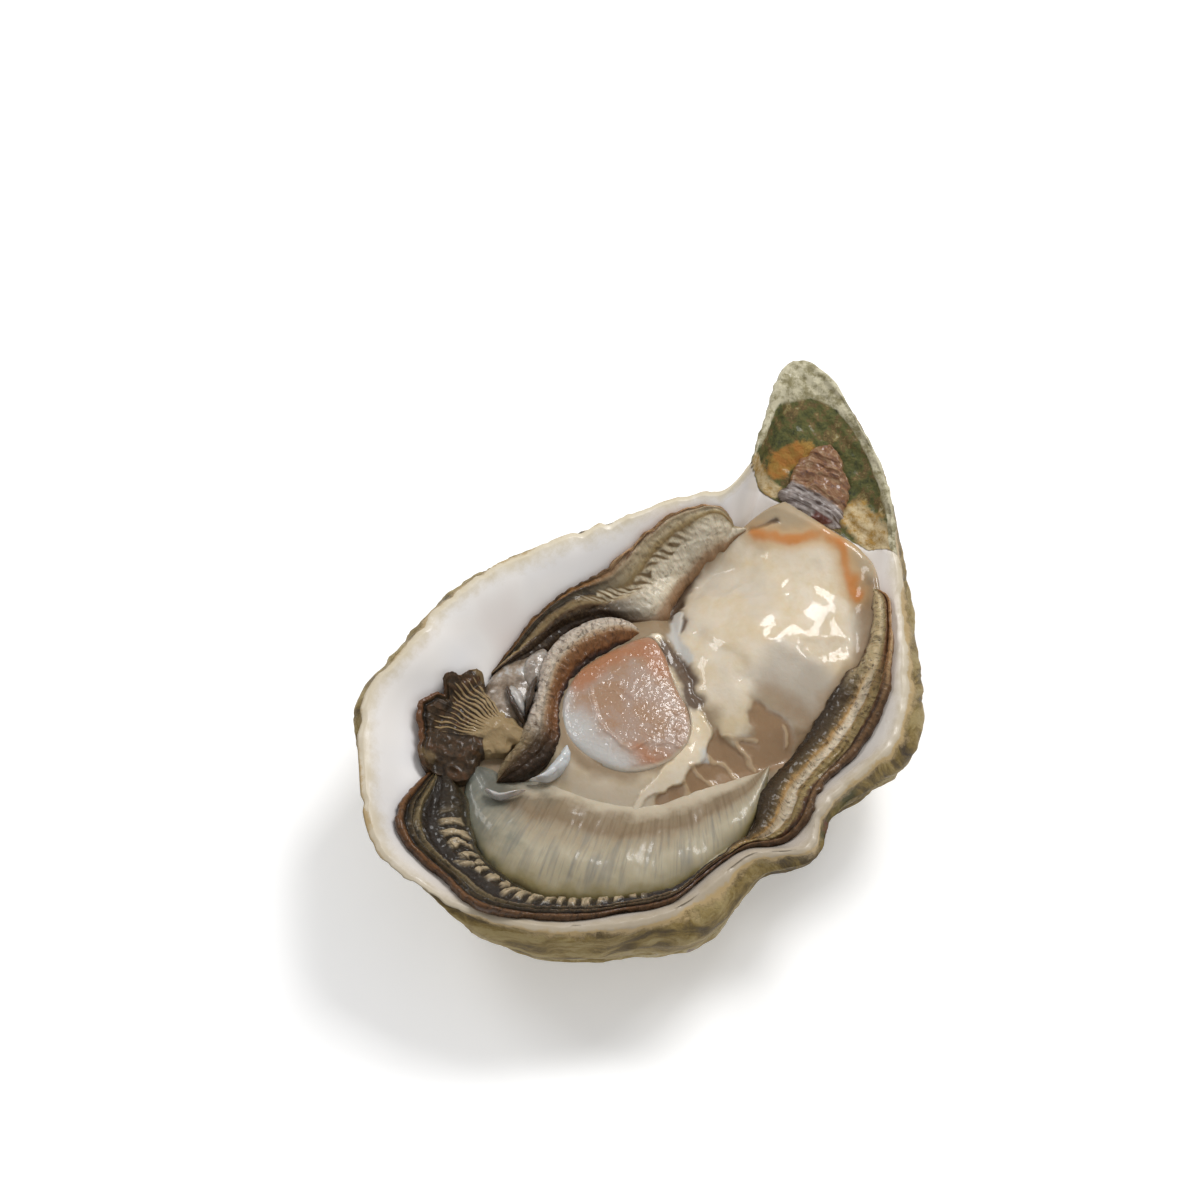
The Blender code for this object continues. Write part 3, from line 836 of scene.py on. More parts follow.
@dataclass(frozen=True)
class GillFinish:
    """Gills: pale sheets of fine filaments, all lying across the band."""

    zones: Stops = (
        (0.0, "5E5236"), (0.05, "84774F"), (0.13, "A0957A"), (0.35, "AAA089"), (0.55, "998B73"),
        (0.66, "826F56"), (0.78, "86755C"), (0.88, "B2A58F"), (1.0, "C2B6A1"),
    )
    cool: str = "76736C"
    brown: str = "6C5A43"
    green: str = "575D57"
    stripe_pitch: float = 1.1
    filament_pitch: float = 0.38
    flesh: WetFlesh = WetFlesh(
        roughness=0.45, gloss=0.3, depth=0.9, through=0.25, film=0.5, film_roughness=0.14,
        ripple_size=5.0, ripple=0.2
    )

    def material(self) -> bpy.types.Material:
        """The gills' material.

        Returns:
            The finished material.
        """
        paint = Paint("raw_oyster_gills")
        across = paint.add(Kind.MARK, {"attribute_name": "across"})
        share = paint.add(Kind.MARK, {"attribute_name": "share"})
        cloud = paint.add(Kind.NOISE, {"Vector": paint.place, "Scale": per_mm(3.0), "Detail": 4.0})
        cloud = paint.add(Kind.SUM, {0: cloud, 1: -0.5})
        read_at = paint.add(Kind.SUM_OF_PRODUCT, {0: cloud, 1: 0.22, 2: across})
        colour = paint.add(Kind.RAMP, {0: read_at, "stops": self.zones})
        stripes = paint.add(
            Kind.NOISE, {"Vector": paint.flow(self.stripe_pitch, 8.0), "Scale": 1.0, "Detail": 1.0}
        )
        threads = paint.add(
            Kind.NOISE, {"Vector": paint.flow(self.filament_pitch, 5.0), "Scale": 1.0, "Detail": 2.0}
        )
        begun = paint.add(Kind.STEP, {"Value": read_at, "From Min": 0.03, "From Max": 0.2})
        ended = paint.add(Kind.STEP, {"Value": read_at, "From Min": 0.86, "From Max": 0.76})
        within = paint.add(Kind.PRODUCT, {0: begun, 1: ended})
        turned = paint.add(Kind.STEP, {"Value": read_at, "From Min": 0.5, "From Max": 0.64})
        dark = paint.add(Kind.LAYER, {SHARE: turned, UNDER: self.cool, OVER: self.brown})
        for lines, low, high, most in ((stripes, 0.48, 0.68, 0.46), (threads, 0.48, 0.68, 0.36)):
            level = paint.add(Kind.STEP, {"Value": lines, "From Min": low, "From Max": high, "To Max": most})
            level = paint.add(Kind.PRODUCT, {0: level, 1: within})
            colour = paint.add(Kind.LAYER, {SHARE: level, UNDER: colour, OVER: dark})
        left = paint.add(Kind.SUM_OF_PRODUCT, {0: cloud, 1: 0.3, 2: share})
        green = paint.add(Kind.STEP, {"Value": left, "From Min": 0.3, "From Max": 0.06, "To Max": 0.8})
        colour = paint.add(Kind.LAYER, {SHARE: green, UNDER: colour, OVER: self.green})
        fine = paint.add(Kind.SUM_OF_PRODUCT, {0: threads, 1: 0.5, 2: stripes})
        return self.flesh.coat(paint, colour, paint.add(Kind.RELIEF, {"Height": fine, "Distance": 0.05 * MM}))


@dataclass(frozen=True)
class FanFinish:
    """The folded flap of mantle: nearly black, with tan lamellae spreading from its hub."""

    edge: str = "5E3E26"
    dark: str = "3E2F1F"
    groove: str = "241B12"
    tan: str = "917C5A"
    stain: str = "8A7552"
    flesh: WetFlesh = WetFlesh(gloss=0.2, film=0.35, film_roughness=0.1, ripple_size=2.4, ripple=0.12)

    def material(self) -> bpy.types.Material:
        """The flap's material.

        Returns:
            The finished material.
        """
        paint = Paint("raw_oyster_mantle_flap")
        lamella = paint.add(Kind.MARK, {"attribute_name": "lamella"})
        cloud = paint.add(Kind.NOISE, {"Vector": paint.place, "Scale": per_mm(1.3), "Detail": 6.0,
            "Roughness": 0.7})
        broad = paint.add(Kind.NOISE, {"Vector": paint.place, "Scale": per_mm(3.5), "Detail": 4.0})
        ground = paint.add(Kind.RAMP, {0: cloud,
            "stops": ((0.34, self.groove), (0.5, self.dark), (0.78, self.edge))})
        patch = paint.add(Kind.STEP, {"Value": broad, "From Min": 0.6, "From Max": 0.72, "To Max": 0.5})
        ground = paint.add(Kind.LAYER, {SHARE: patch, UNDER: ground, OVER: self.stain})
        level = paint.add(Kind.SUM_OF_PRODUCT, {0: cloud, 1: 0.6, 2: lamella})
        level = paint.add(Kind.STEP, {"Value": level, "From Min": 0.6, "From Max": 0.95})
        colour = paint.add(Kind.LAYER, {SHARE: level, UNDER: ground, OVER: self.tan})
        for mark, over in (("groove", self.groove), ("edge", self.edge)):
            level = paint.add(Kind.MARK, {"attribute_name": mark})
            level = paint.add(Kind.SUM_OF_PRODUCT, {0: cloud, 1: 0.5, 2: level})
            level = paint.add(Kind.STEP, {"Value": level, "From Min": 0.6, "From Max": 1.0})
            colour = paint.add(Kind.LAYER, {SHARE: level, UNDER: colour, OVER: over})
        return self.flesh.coat(paint, colour, paint.add(Kind.RELIEF, {"Height": cloud, "Distance": 0.2 * MM}))


@dataclass(frozen=True)
class MembraneFinish:
    """Scraps of thin membrane: milky, bluish white and wet; the same white and dark also colour a painted
    glint and a painted shadow strip.
    """

    white: str = "C4C6C6"
    beige: str = "8F8070"
    shade: str = "665645"
    dark: str = "3A2C20"
    flesh: WetFlesh = WetFlesh(
        roughness=0.3, gloss=0.4, depth=0.8, through=0.35, film_roughness=0.05, ripple_size=1.6, ripple=0.25
    )

    def material(self) -> bpy.types.Material:
        """The membranes' material.

        Returns:
            The finished material.
        """
        paint = Paint("raw_oyster_membrane")
        cloud = paint.add(Kind.NOISE, {"Vector": paint.place, "Scale": per_mm(1.8), "Detail": 5.0,
            "Roughness": 0.6})
        colour = paint.add(Kind.RAMP, {0: cloud,
            "stops": ((0.4, self.shade), (0.56, self.beige), (0.78, self.white))})
        tone = paint.add(Kind.MARK, {"attribute_name": "tone"})
        milky = paint.add(Kind.STEP, {"Value": tone, "From Min": 0.2, "From Max": 1.0, "To Max": 0.9})
        colour = paint.add(Kind.LAYER, {SHARE: milky, UNDER: colour, OVER: self.white})
        dark = paint.add(Kind.STEP, {"Value": tone, "From Min": -0.2, "From Max": -0.9, "To Max": 0.95})
        colour = paint.add(Kind.LAYER, {SHARE: dark, UNDER: colour, OVER: self.dark})
        return self.flesh.coat(paint, colour,
            paint.add(Kind.RELIEF, {"Height": cloud, "Distance": 0.15 * MM}))


@dataclass(frozen=True)
class LigamentFinish:
    """Hinge ligament: torn fibrous horn, rust brown and purple, glassy where it was cut."""

    rust: str = "8C5E38"
    purple: str = "5E4540"
    pale: str = "A68764"
    glass: str = "A39892"
    glass_shade: str = "56453E"
    spot: str = "5E2818"

    def material(self) -> bpy.types.Material:
        """The ligament's material.

        Returns:
            The finished material.
        """
        paint = Paint("oyster_hinge_ligament")
        share = paint.add(Kind.MARK, {"attribute_name": "share"})
        across = paint.add(Kind.MARK, {"attribute_name": "across"})
        fibres = paint.add(
            Kind.NOISE, {"Vector": paint.flow(0.7, 1.6), "Scale": 1.0, "Detail": 7.0, "Roughness": 0.75}
        )
        colour = paint.add(
            Kind.RAMP, {0: fibres, "stops": ((0.34, self.purple), (0.48, self.rust), (0.64, self.pale))}
        )
        cut = paint.add(Kind.SUM_OF_PRODUCT, {0: fibres, 1: 0.16, 2: share})
        cut = paint.add(Kind.STEP, {"Value": cut, "From Min": 0.44, "From Max": 0.38})
        sheets = paint.add(Kind.NOISE, {"Vector": paint.flow(0.5, 4.0), "Scale": 1.0, "Detail": 4.0})
        glass = paint.add(Kind.RAMP, {0: sheets, "stops": ((0.4, self.glass_shade), (0.58, self.glass))})
        colour = paint.add(Kind.LAYER, {SHARE: cut, UNDER: colour, OVER: glass})
        spot = paint.add(Kind.STEP, {"Value": across, "From Min": 0.44, "From Max": 0.36})
        spot = paint.add(
            Kind.PRODUCT, {0: spot, 1: paint.add(Kind.STEP,
                {"Value": across, "From Min": 0.08, "From Max": 0.14})}
        )
        front = paint.add(Kind.STEP, {"Value": share, "From Min": 0.14, "From Max": 0.1})
        spot = paint.add(Kind.PRODUCT, {0: spot, 1: front})
        colour = paint.add(Kind.LAYER, {SHARE: spot, UNDER: colour, OVER: self.spot})
        return paint.finish(
            {
                "Base Color": colour,
                "Roughness": paint.add(Kind.LEVEL, {SHARE: cut, LOW: 0.55, HIGH: 0.12}),
                "IOR": 1.54,
                "Coat Weight": 0.5,
                "Coat Roughness": 0.12,
                "Normal": paint.add(Kind.RELIEF, {"Height": fibres, "Distance": 0.5 * MM}),
            }
        )




# The shell's shape ---------------------------------------------------------------------------------------


@dataclass
class Cup:
    """Shape of the cupped shell: at each angle round the upright axis, the radius and height of its rim.

    The rim is seen from above with the beak's sideways hook taken out. The same sizes made the solids.
    """

    rim: Keys = (
        (0, 27.6), (12, 30.2), (22, 34.0), (42, 37.0), (54, 39.8), (65, 44.6), (73, 52.0), (80, 58.3),
        (86, 56.6), (91, 50.5), (96, 39.0), (105, 34.6), (120, 30.4), (141, 28.2), (160, 29.2), (180, 31.6),
        (192, 33.0), (203, 36.4), (221, 38.0), (240, 39.8), (255, 37.4), (271, 34.2), (288, 31.0),
        (308, 28.2), (324, 25.4), (336, 25.2), (348, 29.0),
    )
    skirt: Keys = (
        (0, 0.5), (28, 1.2), (50, 0.6), (75, 0.2), (110, 0.2), (160, 0.4), (205, 0.0), (228, -1.4),
        (246, -1.8), (262, -0.4), (280, 0.4), (298, 0.3), (314, 2.2), (328, 1.2), (346, 0.4),
    )
    wall_power: Keys = (
        (0, 1.9), (30, 2.2), (60, 2.1), (83, 1.75), (110, 2.1), (160, 2.4), (215, 2.1), (240, 1.8),
        (262, 2.3), (285, 2.8), (310, 2.9), (328, 2.3), (345, 1.9),
    )
    lip: Keys = (
        (0, 1.2), (45, 1.6), (85, 2.4), (115, 1.6), (150, 2.4), (200, 2.6), (240, 2.0), (275, 1.3),
        (320, 1.0),
    )
    rim_middle_height: float = 22.0
    rim_tilt: float = 2.5
    rim_high_at: float = 150.0
    lip_drop: float = 0.8
    lip_foot: tuple[float, float] = (1.0, 0.8)
    rim_bevel: tuple[float, float] = (0.8, 0.3)
    shoulder: float = 1.6
    cavity_floor: float = 4.0
    cavity_power: float = 2.1
    rest_sink: float = 0.5
    keel: tuple[float, float] = (1.0, 4.0)
    layers: int = 6
    layer_edge: float = 0.7
    layer_rise: float = 0.85
    layer_wave: float = 0.28
    beak_at: float = 83.0
    beak_spread: float = 15.0
    beak_rise: float = 4.0
    beak_hook: float = 12.0
    hook_from: float = 36.0
    hook_length: float = 22.0
    hinge_at: float = 85.0
    hinge_distance: float = 39.3
    hinge_height: float = 19.6
    hinge_blend: float = 6.0

    def hook(self, y: Array) -> Array:
        """Sideways shift of the beak at a distance along the shell."""
        return self.beak_hook * (np.maximum(y - self.hook_from, 0.0) / self.hook_length) ** 2

    def rim_radius(self, degrees: Array) -> Array:
        """Radius of the rim."""
        return round_the_axis(self.rim, degrees)

    def rim_height(self, degrees: Array) -> Array:
        """Height of the rim: highest at the beak and at the far side."""
        tilt = self.rim_tilt * cos_deg(degrees - self.rim_high_at)
        return self.rim_middle_height + tilt + self.beak_rise * bump_round(degrees, self.beak_at,
            self.beak_spread)

    def lip_width(self, degrees: Array) -> Array:
        """Width of the lip, from the rim to where the hollow's bevel begins."""
        return round_the_axis(self.lip, degrees)

    def cavity_edge(self, degrees: Array) -> tuple[Array, Array]:
        """Where the hollow begins, inside the lip or at the hinge line.

        Args:
            degrees: Angles round the axis.

        Returns:
            Radius and height of the hollow's edge.
        """
        inside_lip = self.rim_radius(degrees) - self.lip_width(degrees) - self.lip_foot[0]
        hinge_line = self.hinge_distance / np.maximum(cos_deg(degrees - self.hinge_at), 0.3)
        lip_share = np.clip(0.5 + (hinge_line - inside_lip) / self.hinge_blend, 0.0, 1.0)
        rounding = self.hinge_blend / 2 * lip_share * (1 - lip_share)
        radius = hinge_line + (inside_lip - hinge_line) * lip_share - rounding
        foot = self.rim_height(degrees) - self.lip_drop - self.lip_foot[1]
        return radius, self.hinge_height + (foot - self.hinge_height) * lip_share

    def polar(self, x: Array, y: Array) -> tuple[Array, Array]:
        """Angle in degrees and radius of a point in plan, with the hook taken out."""
        straight = x + self.hook(y)
        return np.degrees(np.arctan2(y, straight)), np.hypot(straight, y)

    def cavity(self, x: Array, y: Array) -> tuple[Array, Array]:
        """The cup's inner surface under a point.

        Args:
            x: Place across the shell.
            y: Place along the shell.

        Returns:
            Its height, and the share of the way out to the hollow's edge.
        """
        degrees, radius = self.polar(x, y)
        edge, height = self.cavity_edge(degrees)
        out = radius / edge
        return self.cavity_floor + (height - self.cavity_floor) * out**self.cavity_power, out

    def wall(self, degrees: Array, share: Array, proud: Array) -> tuple[Array, Array, Array]:
        """The outside, from the flat spot (share 0) to the shoulder (share 1).

        Args:
            degrees: Angles round the axis.
            share: How far up the wall.
            proud: How far out of its layer each point stands, 0 to 1.

        Returns:
            Radius, height, and how much of the keel's shift applies.
        """
        turns = np.radians(degrees)
        wave = np.sin(3 * turns + 9 * share) + 0.5 * np.sin(7 * turns - 5 * share)
        share = share + self.layer_wave / self.layers * wave * np.sin(math.pi * share)
        power = round_the_axis(self.wall_power, degrees)
        outer = self.rim_radius(degrees) + round_the_axis(self.skirt, degrees)
        top = self.rim_height(degrees) - self.shoulder
        lean = share * math.pi / 2
        radius = outer * np.sin(lean) ** (2 / power) + proud * self.layer_edge * np.sin(lean)
        height = np.maximum(top * (1 - np.cos(lean) ** (2 / power)) - self.rest_sink, 0.0)
        height = height * top / (top - self.rest_sink)
        return radius, height, np.clip(1 - height / top, 0, 1) ** 2

    def hinge_plate(self, x: Array, y: Array) -> Array:
        """Height of the plate between the hinge line and the beak.

        Args:
            x: Places to the right, in millimetres.
            y: Places towards the hinge, in millimetres.

        Returns:
            The heights, in millimetres.
        """
        degrees, radius = self.polar(x, y)
        edge, edge_height = self.cavity_edge(degrees)
        lip_inner = self.rim_radius(degrees) - self.lip_width(degrees)
        share = np.clip((lip_inner - radius) / (lip_inner - edge), 0, 1)
        lip_top = self.rim_height(degrees) - self.lip_drop
        return lip_top + (edge_height - lip_top) * share


class Side(Enum):
    """Parts of the shell's section, from the flat spot up over the rim and down to the cup's floor."""

    WALL = 0
    SHOULDER = 1
    BEVEL = 2
    LIP = 3
    PLATE = 4
    HOLLOW = 5


@dataclass
class Piece:
    """A visible piece: its name, the solid it stands for and a slot name, which is not used."""

    name: str
    slot: str
    solid: str | None = None

    def make(self) -> bpy.types.Object:
        """Builds the piece's mesh and dresses it."""
        raise NotImplementedError

    def set_down(self) -> bpy.types.Object:
        """Makes the piece and puts it on the frame in its solid's place.

        Returns:
            The piece's object.
        """
        obj = self.make()
        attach(obj, BODY)
        if self.solid:
            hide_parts(self.solid)
        log.info("%s: %d faces", obj.name, len(obj.data.polygons))
        return obj


@dataclass
class Shell(Piece):
    """The shell: layered and fluted outside, chipped rim, nacre hollow, and a mossy hinge plate."""

    name: str = "oyster_shell"
    slot: str = "shell"
    solid: str | None = "shell"
    cup: Cup = field(default_factory=Cup)
    around: int = 600
    layer_rings: tuple[float, ...] = (0.0, 0.1, 0.2, 0.3, 0.4, 0.5, 0.6, 0.7, 0.78, 0.85, 0.9, 0.95)
    rings: tuple[int, ...] = (4, 3, 16, 40, 26)
    crowding: float = 24.0
    umbo: tuple[float, float] = (-5.0, 57.0)
    grown: tuple[float, float] = (34.0, 47.0)
    growth_lines: float = 26.0
    line_height: float = 0.5
    flutes: float = 11.0
    flute_height: float = 0.55
    chip: float = 0.8
    rim_wave: float = 0.22
    # Bearing and spread of the near side whose rim and nacre are painted in shade.
    shaded_side_at: float = 318.0
    shaded_side_spread: float = 95.0
    rim_wave_length: float = 5.0
    beak_edge: tuple[float, float] = (-0.2, 0.6)
    crest_edge: tuple[float, float] = (0.7, -0.9)
    orange_reach: float = 3.0
    ridge_reach: float = 1.6
    inner_run: float = 3.0
    inner_slope: float = 0.3
    sag: float = 0.7
    crest_width: Keys = (
        (0, 0.0), (55, 0.6), (66, 2.2), (76, 3.0), (82, 4.2), (87, 4.0), (91, 1.8), (97, 0.4), (110, 0.0),
        (200, 0.0), (300, 0.0),
    )
    grain: Grain = field(default_factory=lambda: Grain(11))
    ochre_marks: tuple[tuple[Line, float], ...] = field(default_factory=lambda: (
        (Line(((-5.4, 40.4), (-3.0, 40.9), (-0.2, 40.6))), 1.8),
        (Line(((11.4, 41.8), (13.4, 40.8), (15.8, 39.4), (18.2, 37.4))), 3.6),
    ))
    orange_mark: Line = field(default_factory=lambda: Line(((-1.4, 43.6), (-0.4, 45.4), (1.0, 47.0))))
    ridge: Line = field(default_factory=lambda: Line(((-5.2, 41.0), (-4.6, 46.0), (-4.8, 50.0),
        (-5.4, 53.6))))
    finish: Nacre = Nacre()

    def along_rim(self, degrees: Array, size: float, octaves: int) -> Array:
        """Noise that runs along the rim, with cells of this size."""
        turn = np.radians(degrees)
        spots = np.stack([np.cos(turn), np.sin(turn), np.zeros_like(turn)], axis=-1) * 33.0
        return self.grain.at(spots + size, size, octaves)

    def chips(self, degrees: Array) -> Array:
        """How far the rim is broken back at each angle."""
        broken = 0.6 * self.along_rim(degrees, 2.4, 3) + 0.5 * self.along_rim(degrees, 8.0, 1)
        return self.chip * np.clip(broken + 0.2, 0.0, 1.0)

    def inner_height(self, degrees: Array, radius: Array, top: Array) -> Array:
        """Height inside the rim, where the nacre falls in one smooth run from the rim into the hollow.

        Args:
            degrees: Angles round the axis.
            radius: Distance from the axis.
            top: Height of the rim.

        Returns:
            The nacre's height.
        """
        cup = self.cup
        edge, edge_height = cup.cavity_edge(degrees)
        start = cup.rim_radius(degrees) - cup.rim_bevel[0]
        join = edge - self.inner_run
        depth = edge_height - cup.cavity_floor
        low = cup.cavity_floor + depth * (join / edge) ** cup.cavity_power
        slope = cup.cavity_power * depth / edge * (join / edge) ** (cup.cavity_power - 1)
        run = start - join
        t = np.clip((radius - join) / run, 0.0, 1.05)
        curve = (
            (2 * t**3 - 3 * t**2 + 1) * low
            + (t**3 - 2 * t**2 + t) * run * slope
            + (3 * t**2 - 2 * t**3) * top
            + (t**3 - t**2) * run * self.inner_slope
        )
        hollow = cup.cavity_floor + depth * (radius / edge) ** cup.cavity_power
        return np.where(radius > join, curve, hollow)

    def place(self, ring: Array, angle: Array) -> Skin:
        """Lays the shell's rings and spokes out.

        Args:
            ring: Ring number of each point.
            angle: Angles round the form, in radians.

        Returns:
            The points, with their marks.
        """
        cup = self.cup
        wall_shares = [
            (layer + phase) / cup.layers for layer in range(cup.layers) for phase in self.layer_rings
        ]
        sections, shares = stations((len(wall_shares), *self.rings))
        shares[: len(wall_shares)] = wall_shares
        section, share = sections[ring], shares[ring]
        degrees = np.degrees(angle)
        degrees = degrees - self.crowding * np.sin(np.radians(degrees - cup.beak_at))

        on_wall = section == Side.WALL.value
        rim, top = cup.rim_radius(degrees), cup.rim_height(degrees)
        edge, edge_height = cup.cavity_edge(degrees)
        phase = np.mod(share * cup.layers, 1.0)
        proud = np.minimum(phase / cup.layer_rise, (1 - phase) / (1 - cup.layer_rise))
        wall_radius, wall_height, keel = cup.wall(
            degrees, np.where(on_wall, share, 1.0), np.where(on_wall, proud, 0.0)
        )
        lip_inner = rim - cup.lip_width(degrees)
        at_hinge = np.clip((lip_inner - edge - cup.lip_foot[0]) / cup.hinge_blend, 0, 1)
        sag = self.sag * np.sin(math.pi * share) * at_hinge
        broken = rim - self.chips(degrees)
        top = top + self.rim_wave * self.along_rim(degrees, self.rim_wave_length, 2)

        def between(start: Array, end: Array) -> Array:
            """A straight run along this section."""
            return start + (end - start) * share

        hollow = 1 - share**1.5
        radius = np.select(
            [section == side.value for side in Side],
            [
                wall_radius,
                between(wall_radius, broken),
                between(broken, broken - cup.rim_bevel[0]),
                between(broken - cup.rim_bevel[0], lip_inner),
                between(lip_inner, edge),
                edge * hollow,
            ],
        )
        crest = self.inner_height(degrees, broken - cup.rim_bevel[0], top)
        soft = self.inner_height(degrees, radius, top)
        lip_foot = top - cup.lip_drop

        def eased(hinge_height: Array) -> Array:
            """Height inside the rim: the nacre's smooth run, or the given height beside the hinge."""
            return soft + (hinge_height - soft) * at_hinge

        height = np.select(
            [section == side.value for side in Side],
            [
                wall_height,
                between(wall_height, top - cup.rim_bevel[1]),
                between(top - cup.rim_bevel[1], crest),
                eased(between(crest, lip_foot)),
                eased(between(lip_foot, edge_height) - sag),
                eased(cup.cavity_floor + (edge_height - cup.cavity_floor) * hollow**cup.cavity_power),
            ],
        )
        below = np.where(on_wall, keel, 0.0)
        x = radius * cos_deg(degrees) + cup.keel[0] * below
        y = radius * np.sin(np.radians(degrees)) + cup.keel[1] * below
        x = x - cup.hook(y)
        points = np.stack([x, y, height], axis=-1)

        inside = section > Side.SHOULDER.value
        beyond = radius * cos_deg(degrees - cup.hinge_at) - cup.hinge_distance
        crest_width = round_the_axis(self.crest_width, degrees)
        crest_edge = [crest_width + step for step in self.crest_edge]
        in_beak = ease(beyond, *self.beak_edge)
        return Skin(
            points,
            {
                "from_rim": np.where(inside, rim - radius, height - top),
                "growth": self.growth(points) * self.growth_lines,
                "plate": inside * in_beak,
                "crest": in_beak * ease(rim - radius, *crest_edge) * inside,
                "ochre": np.max([mark.near(x, y, reach) for mark, reach in self.ochre_marks], axis=0),
                "orange": self.orange_mark.near(x, y, self.orange_reach),
                # Where the near rim and its nacre are painted in shade.
                "soil": bump_round(degrees, self.shaded_side_at, self.shaded_side_spread),
                "ridge": self.ridge.near(x, y, self.ridge_reach),
                "outside": np.where(inside, 0.0, 1.0),
            },
        )

    def growth(self, points: Array) -> Array:
        """Age of the shell at each point outside, 0 at the beak's tip and about 1 at the rim.

        Args:
            points: Places in millimetres, one to a row.

        Returns:
            The age at each point.
        """
        across = (points[:, 0] - self.umbo[0]) / self.grown[0]
        down = np.maximum((self.umbo[1] - points[:, 1]) / self.grown[1], 0.12)
        plan = np.minimum((across**2 + down**2) / (2 * down), 1.3)
        wander = 0.02 * self.grain.at(points, 9.0, 2)
        return 0.72 * plan + 0.28 * points[:, 2] / self.cup.rim_middle_height + wander

    def relief(self, skin: Skin) -> Array:
        """Growth lines, flutes and grit outside; a faint swell inside; rough growth ridges on the plate.

        Args:
            skin: The points and marks laid out so far.

        Returns:
            How far each point moves out, in millimetres.
        """
        points, marks = skin.points, skin.marks
        outside = marks["outside"]
        phase = np.mod(marks["growth"], 1.0)
        steps = np.minimum(phase / 0.8, (1 - phase) / 0.2)
        strength = 0.6 + 0.4 * self.grain.at(points, 12.0)
        bearing = np.arctan2(points[:, 0] - self.umbo[0], self.umbo[1] - points[:, 1] + 8.0)
        swing = bearing * self.flutes + 1.6 * self.grain.at(points, 22.0)
        off_rest = ease(points[:, 2], 0.3, 4.0)
        flutes = np.sin(swing) * ease(points[:, 1], 50.0, 20.0)
        rough = self.grain.at(points, 3.0, 4)
        wall = self.line_height * strength * (steps - 0.5) + self.flute_height * flutes + 0.25 * rough
        marks["hollow"] = np.clip((steps - 0.5) * strength + 0.6 * flutes + 0.5 * rough, -1.5, 1.5) * outside
        fade = ease(marks["from_rim"], -0.2, -2.5)
        inner = 0.08 * self.grain.at(points, 9.0, 2) * ease(marks["from_rim"], 1.0, 5.0)
        plate_lines = np.sin(2 * math.pi * (points[:, 1] + 0.4 * points[:,
            0]) / 1.7 + 1.5 * self.grain.at(points, 4.0))
        plate = marks["plate"] * (0.1 * plate_lines + 0.3 * rough + 0.5 * marks["ridge"])
        return outside * fade * off_rest * wall + (1 - outside) * (inner * (1 - marks["plate"]) + plate)

    def make(self) -> bpy.types.Object:
        """Builds the shell.

        Returns:
            The finished object.
        """
        rings = len(self.layer_rings) * self.cup.layers + sum(self.rings)
        obj = closed_form(self.name, self.around, rings, self.place, self.relief)
        obj.data.materials.append(self.finish.material())
        return obj




# The soft body's shape -----------------------------------------------------------------------------------


@dataclass
class FleshBed:
    """What the bands of flesh lie on: the cup's wall, or the visceral mass."""

    cup: Cup = field(default_factory=Cup)
    flesh_gap: float = 0.5
    wall_gap: float = 0.9
    level: float = 15.4
    dome_centre: tuple[float, float] = (9.0, 19.0)
    dome_radii: tuple[float, float] = (14.0, 20.0)
    dome_turn: float = -10.0
    dome_rise: float = 5.2
    hood_span: tuple[float, float] = (24.0, 38.0)
    hood_rise: float = 5.4

    def top(self, x: Array, y: Array) -> Array:
        """Height of the visceral mass, outside the muscle's pocket.

        Args:
            x: Places to the right, in millimetres.
            y: Places towards the hinge, in millimetres.

        Returns:
            The heights, in millimetres.
        """
        turn = math.radians(self.dome_turn)
        dx, dy = x - self.dome_centre[0], y - self.dome_centre[1]
        across = (dx * math.cos(turn) + dy * math.sin(turn)) / self.dome_radii[0]
        along = (dy * math.cos(turn) - dx * math.sin(turn)) / self.dome_radii[1]
        inside = np.maximum(1 - across**2 - along**2, 0.0)
        climb = np.clip((y - self.hood_span[0]) / (self.hood_span[1] - self.hood_span[0]), 0.0, 1.0)
        return self.level + np.hypot(self.dome_rise * inside**1.2, self.hood_rise * climb)

    def support(self, x: Array, y: Array) -> Array:
        """Height of what a band of flesh lies on, with the solids' gap."""
        return np.maximum(self.cup.cavity(x, y)[0] + self.wall_gap, self.top(x, y) + self.flesh_gap)


